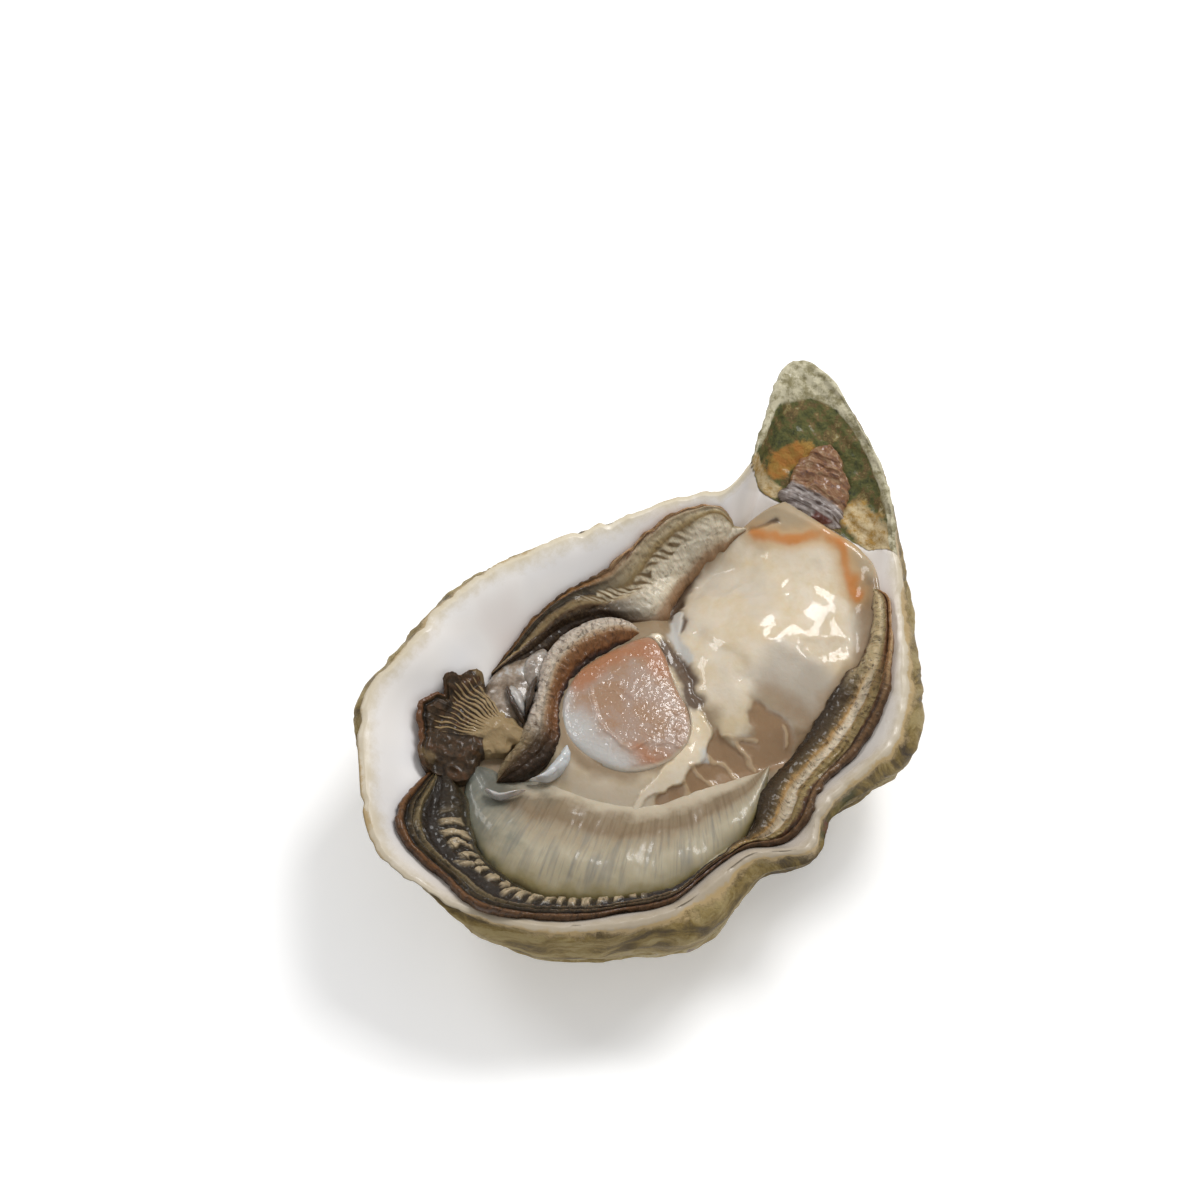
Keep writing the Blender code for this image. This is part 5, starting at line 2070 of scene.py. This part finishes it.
def right_mantle(bed: FleshBed) -> Band:
    """The mantle edge beside the full part of the body, from its inner line to its outer line.

    Args:
        bed: The flesh that it lies on.

    Returns:
        The band.
    """
    return Band(
        name="oyster_right_mantle", slot="right_mantle", solid="right_mantle", lies_on=bed.support,
        keys=(
            (17.9, 32.4, 19.2, 33.0, 1.2), (19.2, 30.4, 21.5, 31.8, 1.5), (20.5, 28.2, 23.2, 29.0, 1.6),
            (21.3, 25.6, 24.8, 25.9, 1.7), (21.3, 23.4, 26.1, 23.0, 1.7), (20.5, 20.8, 27.1, 20.4, 1.7),
            (20.2, 17.8, 27.7, 17.6, 1.7), (20.1, 14.6, 27.6, 14.6, 1.7), (19.9, 11.4, 27.3, 11.4, 1.7),
            (19.5, 8.2, 26.5, 8.2, 1.7), (19.0, 5.2, 25.6, 5.0, 1.7), (18.2, 2.2, 25.5, 2.0, 1.7),
            (18.1, -0.4, 26.0, -0.8, 1.7), (18.7, -2.8, 25.8, -3.4, 1.7), (19.5, -5.0, 23.9, -5.9, 1.6),
            (19.4, -7.0, 21.8, -7.7, 1.7), (18.6, -9.2, 20.2, -9.6, 1.5), (17.6, -12.0, 18.5, -12.4, 1.2),
        ),
        around=120, rings=340, blunt=10.0, round_side=(0.7, 0.6),
        folds=(
            Fold((0.05, 0.04), 0.03, (0.2, 0.25)), Fold((0.2, 0.22), 0.1, (0.1, 0.4)),
            Fold((0.46, 0.54), 0.1, (-0.2, -1.1)), Fold((0.66, 0.72), 0.07, (0.1, 0.25)),
            Fold((0.72, 0.83), 0.03, (-0.4, -0.35)), Fold((0.86, 0.9), 0.04, (0.25, 0.2)),
        ),
        frill=0.28, wrinkle=0.12, seed=47,
        finish=MantleFinish(
            name="raw_oyster_mantle_right",
            start=(
                (0.0, "7A5634"), (0.05, "5A3E26"), (0.12, "C2AE88"), (0.3, "BAA67E"), (0.46, "CBB894"),
                (0.6, "9A865C"), (0.68, "64442A"), (0.75, "4C301C"), (0.8, "8A633C"), (0.92, "B0926A"),
                (0.96, "6A4628"), (1.0, "8A6A46"),
            ),
            end=(
                (0.0, "5A4228"), (0.03, "2A2016"), (0.14, "3A2D1E"), (0.28, "4A3C28"), (0.35, "6E5A3A"),
                (0.41, "A88656"), (0.46, "C4B398"), (0.58, "CCBFA9"), (0.62, "9A8058"), (0.67, "86724A"),
                (0.76, "8F7C54"), (0.80, "4E321E"), (0.85, "33231A"), (0.9, "6E5236"), (0.95, "5A432C"),
                (0.98, "4A3422"), (1.0, "5A4430"),
            ),
            mottle="3A2B1B", fringe=0.6, speckle=0.85, turn=(0.2, 0.36),
        ),
    )


def upper_mantle(bed: FleshBed) -> Band:
    """The mantle edge along the far rim, from its inner line to its outer line, darker lower down.

    Args:
        bed: The flesh that it lies on.

    Returns:
        The band.
    """
    return Band(
        name="oyster_upper_mantle", slot="upper_mantle", solid="upper_mantle", lies_on=bed.support,
        keys=(
            (-1.4, 34.0, -0.9, 33.2, 0.6), (-4.6, 33.0, -1.9, 31.0, 1.2), (-8.4, 30.8, -3.2, 28.3, 1.8),
            (-10.9, 27.7, -4.4, 25.4, 2.0), (-12.3, 24.9, -5.3, 22.6, 2.1), (-13.6, 21.9, -5.2, 19.4, 2.1),
            (-14.9, 18.9, -5.4, 16.2, 2.0), (-16.3, 16.1, -8.2, 14.5, 2.0), (-17.8, 13.7, -11.6, 13.2, 2.0),
            (-19.0, 11.3, -14.0, 11.3, 2.0), (-20.1, 8.9, -15.9, 8.6, 1.9), (-20.9, 6.5, -17.0, 5.8, 1.8),
            (-21.4, 4.1, -18.2, 3.2, 1.6), (-22.0, 1.4, -19.8, 1.0, 1.4), (-22.7, -1.2, -21.6, -1.2, 1.0),
        ),
        around=120, rings=320, round_side=(0.6, 0.9),
        folds=(
            Fold((0.03, 0.04), 0.02, (0.25, 0.25)), Fold((0.065, 0.08), 0.02, (-0.3, -0.3)),
            Fold((0.12, 0.16), 0.03, (0.15, 0.2)), Fold((0.2, 0.26), 0.05, (-0.15, -0.35)),
            Fold((0.6, 0.42), 0.12, (0.1, 0.2)), Fold((0.9, 0.55), 0.06, (0.1, 0.2)),
            Fold((1.0, 0.8), 0.12, (0.0, -0.7)),
        ),
        comb=Comb(
            at=(0.46, 0.3), half_width=0.13, pitch=1.2, height=0.04, span=(0.14, 0.66), fade=0.12, lean=0.9,
            stray=0.12, uneven=0.5, gap=(-0.8, 0.6),
        ),
        frill=0.22, wrinkle=0.12, seed=53,
        finish=MantleFinish(
            name="raw_oyster_mantle_far",
            start=(
                (0.0, "9A7448"), (0.025, "664A30"), (0.045, "B4926C"), (0.07, "5E4430"), (0.11, "A6957A"),
                (0.2, "B4A486"), (0.28, "927E58"), (0.33, "806A46"), (0.38, "B4A68A"), (0.48, "CFC3AC"),
                (0.7, "D6CCB7"), (0.82, "C6B8A0"), (0.9, "A08468"), (1.0, "8A6848"),
            ),
            end=(
                # The greyish stop at 0.22, between two dark stops, is a painted wet highlight along the dark
                # strip.
                (0.0, "5A4028"), (0.04, "33261A"), (0.09, "8A6238"), (0.15, "33281E"), (0.22, "5E5648"),
                (0.28, "30261C"), (0.34, "7A6646"), (0.42, "8E7A58"), (0.48, "5A4530"), (0.54, "382A1E"),
                (0.92, "33271E"), (1.0, "4A392C"),
            ),
            tooth="C6B99F", tooth_gap="705C40", mottle="6B5940", fringe=0.3, speckle=0.5,
            turn=(0.36, 0.58), wear=0.3,
        ),
    )


def rolled_mantle(bed: FleshBed) -> Band:
    """The thick roll of mantle that curls round the muscle, from its outer line to its inner line.

    Args:
        bed: The flesh that it lies on.

    Returns:
        The band.
    """
    return Band(
        name="oyster_rolled_mantle", slot="rolled_mantle", solid="rolled_mantle", lies_on=bed.support,
        keys=(
            (-6.3, 14.0, -5.8, 13.0, 1.8), (-8.3, 14.6, -6.5, 11.5, 3.0), (-10.8, 14.3, -7.7, 9.7, 3.5),
            (-13.2, 12.8, -9.0, 7.9, 3.6), (-15.2, 10.2, -10.1, 6.1, 3.6), (-16.5, 7.2, -10.9, 4.1, 3.5),
            (-16.9, 4.2, -11.3, 2.1, 3.3), (-16.3, 1.2, -11.3, 0.1, 3.1), (-15.4, -1.6, -10.7, -2.2, 3.0),
            (-14.9, -4.2, -9.5, -4.4, 3.0), (-14.2, -6.8, -8.3, -6.4, 3.0), (-13.9, -9.4, -8.3, -9.0, 2.9),
            (-14.5, -12.0, -9.2, -11.6, 2.7), (-14.6, -14.2, -11.0, -14.0, 2.3),
            (-14.2, -15.5, -12.9, -15.3, 1.4),
        ),
        around=120, rings=300, round_side=(0.75, 0.6),
        folds=(
            Fold((0.36, 0.4), 0.05, (-0.3, -0.35)), Fold((0.9, 0.72), 0.06, (-0.2, -0.25)),
            Fold((0.6, 0.55), 0.1, (0.15, 0.2)),
        ),
        frill=0.3, wrinkle=0.16, seed=59,
        finish=MantleFinish(
            name="raw_oyster_mantle_roll",
            start=(
                # The near-black stops at 0.91 and 1.0, on the muscle side, paint the shadow line where the
                # roll meets the muscle; the red-brown before them is the roll's own colour.
                (0.0, "9A8B7E"), (0.12, "BDB0A3"), (0.42, "B6A895"), (0.52, "9A7F62"), (0.6, "7A5636"),
                (0.72, "6E4829"), (0.82, "744C2C"), (0.87, "42271A"), (0.91, "1E1410"), (1.0, "2A1A12"),
            ),
            end=(
                (0.0, "8A7A5E"), (0.12, "8E7E62"), (0.30, "6A583E"), (0.44, "40301F"), (0.80, "33261A"),
                (1.0, "221810"),
            ),
            mottle="3E2A1A", fringe=0.6, speckle=0.8, turn=(0.64, 0.8),
        ),
    )


def hinge_ligament(cup: Cup) -> Band:
    """The torn ligament on the hinge plate, from the hinge line back towards the beak.

    Args:
        cup: The shell that it lies on.

    Returns:
        The ligament.
    """
    return Band(
        name="oyster_hinge_ligament", slot="hinge_ligament", solid="hinge_ligament",
        lies_on=lambda x, y: cup.hinge_plate(x, y) + 0.1,
        keys=(
            (10.2, 38.2, 0.6, 39.0, 1.2), (10.4, 39.3, 0.2, 40.2, 1.4), (9.8, 41.0, 0.4, 41.9, 1.1),
            (9.0, 43.2, 0.9, 43.8, 1.0), (8.2, 45.6, 1.4, 46.2, 0.9), (6.8, 47.4, 2.0, 48.0, 0.7),
            (5.0, 48.7, 3.2, 49.1, 0.4),
        ),
        around=110, rings=150, blunt=9.0,
        folds=(Fold((0.5, 0.5), 0.3, (-0.2, -0.1)),),
        comb=Comb(at=(0.5, 0.5), half_width=0.6, pitch=1.9, height=0.18, span=(0.2, 1.0), lean=0.2,
            uneven=0.5),
        frill=0.8, frill_size=1.6, wrinkle=0.28, wrinkle_size=1.6, swell=0.2, sink=0.9, seed=61,
        finish=LigamentFinish(),
    )


@dataclass
class MantleFlap(Piece):
    """The folded flap of mantle, with lamellae that spread from the hub where it is gathered."""

    name: str = "oyster_mantle_flap"
    slot: str = "mantle_fan"
    solid: str | None = "mantle_fan"
    bed: FleshBed = field(default_factory=FleshBed)
    centre: tuple[float, float] = (-20.5, -10.0)
    hub: tuple[float, float] = (-13.5, -9.5)
    outline: Keys = (
        (8, 6.8), (26, 6.8), (45, 5.9), (69, 5.5), (83, 4.7), (96, 5.6), (106, 8.1), (117, 7.9), (131, 7.0),
        (151, 6.4), (160, 5.4), (172, 6.1), (189, 6.7), (217, 7.1), (238, 7.9), (254, 8.8), (270, 8.0),
        (284, 8.3), (297, 7.9), (308, 5.8), (320, 4.8), (338, 5.6), (352, 6.4),
    )
    thickness: float = 2.4
    edge_drop: float = 0.55
    pleats: int = 5
    pleat_height: float = 0.25
    lamella_angle: float = 4.5
    lamella_height: float = 0.22
    lamella_reach: tuple[float, float, float] = (4.2, 7.4, 10.4)
    lamella_bearing: tuple[float, float] = (143.0, 196.0)
    jags: float = 0.4
    sink: float = 0.8
    around: int = 320
    rings: tuple[int, ...] = (4, 8, 110)
    seed: int = 67
    finish: FanFinish = FanFinish()

    def place(self, ring: Array, angle: Array) -> Skin:
        """Lays the flap out round its centre.

        Args:
            ring: Ring number of each point.
            angle: Angles round the form, in radians.

        Returns:
            The points, with their marks.
        """
        grain = Grain(self.seed)
        sections, shares = stations(self.rings)
        section, share = sections[ring], shares[ring]
        degrees = np.degrees(angle) % 360.0
        size = round_the_axis(self.outline, degrees)
        turn = np.stack([np.cos(angle), np.sin(angle), np.zeros_like(angle)], axis=-1)
        size = size + self.jags * grain.at(turn * 6.5, 1.3, 2) - 0.1
        out = np.select([section == i for i in range(3)], [share, 1.0, 1 - share])
        x = self.centre[0] + size * out * np.cos(angle)
        y = self.centre[1] + size * out * np.sin(angle)
        pleat = self.pleat_height * np.sin(self.pleats * angle) * out * (1 - out**4)
        thickness = self.thickness * (1 - self.edge_drop * out**4) + pleat
        rise = np.select([section == i for i in range(3)], [0.0, share, 1.0])
        height = self.bed.support(x, y) - self.sink + (thickness + self.sink) * rise
        left_edge = bump_round(degrees, 200.0, 55.0)
        marks = {
            "lamella": self.lamellae(x, y, grain),
            "edge": ease(out, 0.9, 0.94) * left_edge,
            "groove": bump(out, 0.86, 0.04) * left_edge,
            "out": out,
            "top": rise,
        }
        return Skin(np.stack([x, y, height], axis=-1), marks)

    def lamellae(self, x: Array, y: Array, grain: Grain) -> Array:
        """Tan lamellae: one sheet at the hub, then parted by thin dark lines, then thin themselves.

        Args:
            x: Places across the shell.
            y: Places along the shell.
            grain: Noise that makes the lamellae waver.

        Returns:
            1 on a lamella and 0 between, at each place.
        """
        hub_x, hub_y = x - self.hub[0], y - self.hub[1]
        bearing = np.degrees(np.arctan2(hub_y, hub_x)) % 360.0
        reach = np.hypot(hub_x, hub_y)
        spots = np.stack([0.9 * reach, bearing / 12.0, np.zeros_like(x)], axis=-1)
        wander = 0.7 * grain.at(spots, 2.2, 1)
        plane = np.stack([x, y, np.zeros_like(x)], axis=-1)
        level = np.interp(reach + 1.6 * grain.at(plane, 2.4, 2), self.lamella_reach, (1.35, 0.6, -0.9))
        wave = np.cos(2 * math.pi * (bearing / self.lamella_angle + wander))
        first, last = self.lamella_bearing
        spread = ease(bearing, first - 8.0, first) * ease(bearing, last + 8.0, last)
        at_hub = ease(reach, self.lamella_reach[0] + 0.8, self.lamella_reach[0])
        return ease(wave + level, -0.15, 0.4) * np.maximum(spread, at_hub)

    def relief(self, skin: Skin) -> Array:
        """Lamellae, soft wrinkles, and the groove inside the flap's raised outer edge.

        Args:
            skin: The points and marks laid out so far.

        Returns:
            How far each point moves out, in millimetres.
        """
        marks = skin.marks
        lamellae = self.lamella_height * (marks["lamella"] - 0.5)
        wrinkle = 0.14 * (1 - 2 * np.abs(Grain(self.seed + 1).at(skin.points, 1.6, 2)))
        return marks["top"] * (lamellae + wrinkle + 0.25 * marks["edge"] - 0.4 * marks["groove"])

    def make(self) -> bpy.types.Object:
        """Builds the flap."""
        obj = closed_form(self.name, self.around, sum(self.rings), self.place, self.relief)
        obj.data.materials.append(self.finish.material())
        return obj


@dataclass(frozen=True)
class Scrap:
    """A pad of torn membrane: the keys of its strip, how high it lies on the bed, and how milky it is.

    `tone` is 1 for milky white, also used for one painted glint; 0 for beige; -1 for dark, used for a shred
    of mantle and for a strip of painted shadow.
    """

    keys: Keys
    raised: float = 0.0
    tone: float = 0.0


@dataclass
class Membranes(Piece):
    """Scraps of membrane between the roll, the flap and the far mantle, and along the muscle, with one dark
    strip of painted shadow beside the roll and one white sliver that is a painted glint on the gills' end.
    """

    name: str = "oyster_membranes"
    slot: str = "gills"
    bed: FleshBed = field(default_factory=FleshBed)
    scraps: tuple[Scrap, ...] = (
        Scrap(((-18.6, 5.0, -16.6, 4.6, 0.6), (-20.2, 3.0, -15.8, 2.6, 1.0), (-21.6, 0.6, -15.2, 0.4, 1.2),
               (-22.2, -1.8, -14.8, -1.8, 1.3), (-21.8, -4.0, -14.8, -3.8, 1.5),
               (-20.6, -6.6, -14.8, -6.6, 1.8),
               (-18.6, -9.0, -14.0, -9.0, 1.8), (-17.2, -10.6, -14.4, -10.6, 1.2))),
        Scrap(((-17.9, 5.6, -16.6, 5.2, 0.7), (-18.6, 3.8, -15.8, 3.4, 1.1), (-18.8, 2.0, -15.2, 1.8, 1.2),
               (-18.4, 0.2, -14.8, 0.2, 1.1), (-17.2, -1.2, -15.4, -1.2, 0.7)), 0.7, 0.4),
        Scrap(((-19.0, -2.2, -18.4, -1.7, 0.7), (-18.7, -3.3, -17.2, -2.3, 1.1),
            (-17.2, -4.4, -15.6, -3.7, 1.2),
               (-15.6, -5.4, -14.6, -5.0, 0.9)), 1.2, 0.6),
        Scrap(((-19.2, -2.6, -18.9, -2.2, 0.6), (-18.1, -4.2, -17.6, -3.5, 0.9),
            (-16.4, -5.4, -16.0, -4.7, 0.9),
               (-14.4, -6.6, -14.1, -6.1, 0.7)), 1.7, -1.0),
        # Painted shadow: this dark strip stands for the shaded gap beside the roll's pale part.
        Scrap(((-16.3, 1.0, -15.9, 0.9, 0.7), (-16.1, -1.0, -15.5, -1.0, 1.0),
            (-15.6, -3.2, -14.9, -3.2, 1.0),
               (-15.0, -5.0, -14.7, -5.0, 0.7)), 1.6, -1.0),
        Scrap(((-10.0, -13.4, -9.5, -13.0, 0.8), (-8.8, -12.4, -7.2, -12.2, 1.3),
            (-8.2, -10.4, -6.3, -10.2, 1.5),
               (-7.9, -8.4, -6.2, -8.2, 1.5), (-8.0, -6.8, -6.9, -6.8, 1.2),
               (-8.4, -6.0, -7.9, -5.9, 0.8)), 1.1, 1.0),
        # Painted glint: this thin white sliver stands for the wet highlight on the gills' left end.
        Scrap(((-14.2, -17.6, -14.0, -17.3, 0.6), (-12.2, -18.1, -12.0, -17.3, 0.8),
            (-10.6, -16.8, -10.3, -16.1, 0.8),
               (-9.4, -15.2, -9.2, -14.8, 0.5)), 1.7, 0.7),
    )
    around: int = 40
    rings: int = 70
    seed: int = 71
    finish: MembraneFinish = MembraneFinish()

    def scrap(self, scrap: Scrap, number: int) -> bpy.types.Object:
        """One pad.

        Args:
            scrap: The scrap to build.
            number: The scrap's number, for its name.

        Returns:
            The pad's object.
        """
        grain = Grain(self.seed + number)
        strip = Strip(scrap.keys)

        def place(ring: Array, angle: Array) -> Skin:
            """Lays the pad between its two lines.

            Args:
                ring: Ring number of each point.
                angle: Angles round the form, in radians.

            Returns:
                The points, with their marks.
            """
            share = ring / self.rings
            angle = mostly_on_top(angle, 0.8)
            x0, y0, x1, y1, thickness = strip.at(share).T
            blunt = np.sqrt(np.maximum(1 - np.abs(2 * share - 1) ** 5, 0.0))
            side = np.cos(angle)
            half = np.hypot(x1 - x0, y1 - y0) / 2
            spots = np.stack([share * strip.length, 4.0 * side, np.zeros_like(share)], axis=-1)
            offset = blunt * side * (1 + 0.2 * grain.at(spots, 1.6, 2) / np.maximum(half, 0.4))
            x = (x0 + x1) / 2 + (x1 - x0) / 2 * offset
            y = (y0 + y1) / 2 + (y1 - y0) / 2 * offset
            lift = np.where(np.sin(angle) > 1e-6, np.abs(np.sin(angle)) ** 0.8, 0.0)
            low = self.bed.support(x, y) - 0.6 + scrap.raised
            marks = {"upper": lift * blunt, "tone": np.full_like(share, scrap.tone)}
            return Skin(np.stack([x, y, low + (thickness + 0.6) * lift * blunt], axis=-1), marks)

        def relief(skin: Skin) -> Array:
            """Soft folds."""
            return skin.marks["upper"] * 0.12 * (1 - 2 * np.abs(grain.at(skin.points, 2.0, 2)))

        return closed_form(f"{self.name}_{number}", self.around, self.rings, place, relief)

    def make(self) -> bpy.types.Object:
        """Builds the scraps and joins them.

        Returns:
            The finished object.
        """
        pads = [self.scrap(scrap, number) for number, scrap in enumerate(self.scraps)]
        joined = bmesh.new()
        for pad in pads:
            joined.from_mesh(pad.data)
            bpy.data.objects.remove(pad)
        mesh = bpy.data.meshes.new(self.name)
        joined.to_mesh(mesh)
        joined.free()
        obj = bpy.data.objects.new(self.name, mesh)
        bpy.context.scene.collection.objects.link(obj)
        mesh.materials.append(self.finish.material())
        return obj


# Studio --------------------------------------------------------------------------------------------------


@dataclass(frozen=True)
class Softbox:
    """A square soft light that faces the shell: its place and side in millimetres, its power in watts."""

    name: str
    at: tuple[float, float, float]
    size: float
    power: float

    def hang(self) -> None:
        """Puts the light in the scene."""
        data = bpy.data.lights.new(self.name, "AREA")
        data.shape = "SQUARE"
        data.size = self.size * MM
        data.energy = self.power
        obj = bpy.data.objects.new(self.name, data)
        obj.location = Vector(self.at) * MM
        obj.rotation_euler = (-Vector(self.at)).to_track_quat("-Z", "Y").to_euler()
        bpy.context.scene.collection.objects.link(obj)


@dataclass
class Studio:
    """A pale seamless floor, soft overhead light, and a camera that looks down into the shell."""

    azimuth: float = 28.0
    elevation: float = 60.0
    target: tuple[float, float, float] = (-12.98, 12.89, 22.0)
    distance: float = 450.45
    lens: float = 100.0
    sensor: float = 36.0
    floor_size: float = 6000.0
    floor_grey: str = "FBFBFB"
    floor_white: str = "FDFDFD"
    floor_glow: float = 0.2
    floor_roughness: float = 0.9
    fibre_size: float = 3.0
    sky: float = 0.42
    softboxes: tuple[Softbox, ...] = (
        Softbox("softbox_overhead", (70.0, 450.0, 650.0), 240.0, 3.0),
        Softbox("softbox_window", (270.0, 490.0, 550.0), 140.0, 0.9),
        Softbox("softbox_left", (-520.0, 60.0, 520.0), 220.0, 1.2),
        Softbox("softbox_fill", (420.0, -520.0, 560.0), 500.0, 0.7),
    )

    def camera(self) -> None:
        """Stands the camera on its line of sight and makes it the scene's."""
        data = bpy.data.cameras.new("camera")
        data.lens = self.lens
        data.sensor_width = self.sensor
        data.clip_start = 0.01
        data.dof.use_dof = False
        az, el = math.radians(self.azimuth), math.radians(self.elevation)
        look = Vector((-math.sin(az) * math.cos(el), math.cos(az) * math.cos(el), -math.sin(el)))
        obj = bpy.data.objects.new("camera", data)
        obj.location = (Vector(self.target) - look * self.distance) * MM
        obj.rotation_euler = look.to_track_quat("-Z", "Y").to_euler()
        bpy.context.scene.collection.objects.link(obj)
        bpy.context.scene.camera = obj

    def floor(self) -> None:
        """A pale floor under the shell."""
        form = bmesh.new()
        bmesh.ops.create_grid(form, x_segments=1, y_segments=1, size=self.floor_size * MM / 2)
        mesh = bpy.data.meshes.new("studio_floor")
        form.to_mesh(mesh)
        form.free()
        paint = Paint("white_paper")
        fibre = paint.add(Kind.NOISE, {"Vector": paint.place, "Scale": per_mm(self.fibre_size)})
        colour = paint.add(Kind.LAYER, {SHARE: fibre, UNDER: self.floor_grey, OVER: self.floor_white})
        mesh.materials.append(
            paint.finish(
                {
                    "Base Color": colour,
                    "Roughness": self.floor_roughness,
                    "Emission Color": self.floor_grey,
                    "Emission Strength": self.floor_glow,
                }
            )
        )
        obj = bpy.data.objects.new("studio_floor", mesh)
        bpy.context.scene.collection.objects.link(obj)

    def set_up(self) -> None:
        """Lights, floor, world and camera."""
        world = bpy.data.worlds.new("studio")
        world.use_nodes = True
        background = world.node_tree.nodes["Background"]
        background.inputs["Color"].default_value = (1.0, 1.0, 1.0, 1.0)
        background.inputs["Strength"].default_value = self.sky
        bpy.context.scene.world = world
        bpy.context.scene.view_settings.view_transform = "Standard"
        for softbox in self.softboxes:
            softbox.hang()
        self.floor()
        self.camera()


def main() -> None:
    """Builds every piece on the frame, then the studio."""
    logging.basicConfig(level=logging.INFO, format="%(message)s")
    cup = Cup()
    bed = FleshBed(cup=cup)
    pieces = (
        Shell(cup=cup),
        VisceralMass(bed=bed),
        Muscle(),
        gills(bed),
        lower_mantle(bed),
        right_mantle(bed),
        upper_mantle(bed),
        rolled_mantle(bed),
        MantleFlap(bed=bed),
        Membranes(bed=bed),
        hinge_ligament(cup),
    )
    for piece in pieces:
        piece.set_down()
    Studio().set_up()


if __name__ == "__main__":
    main()
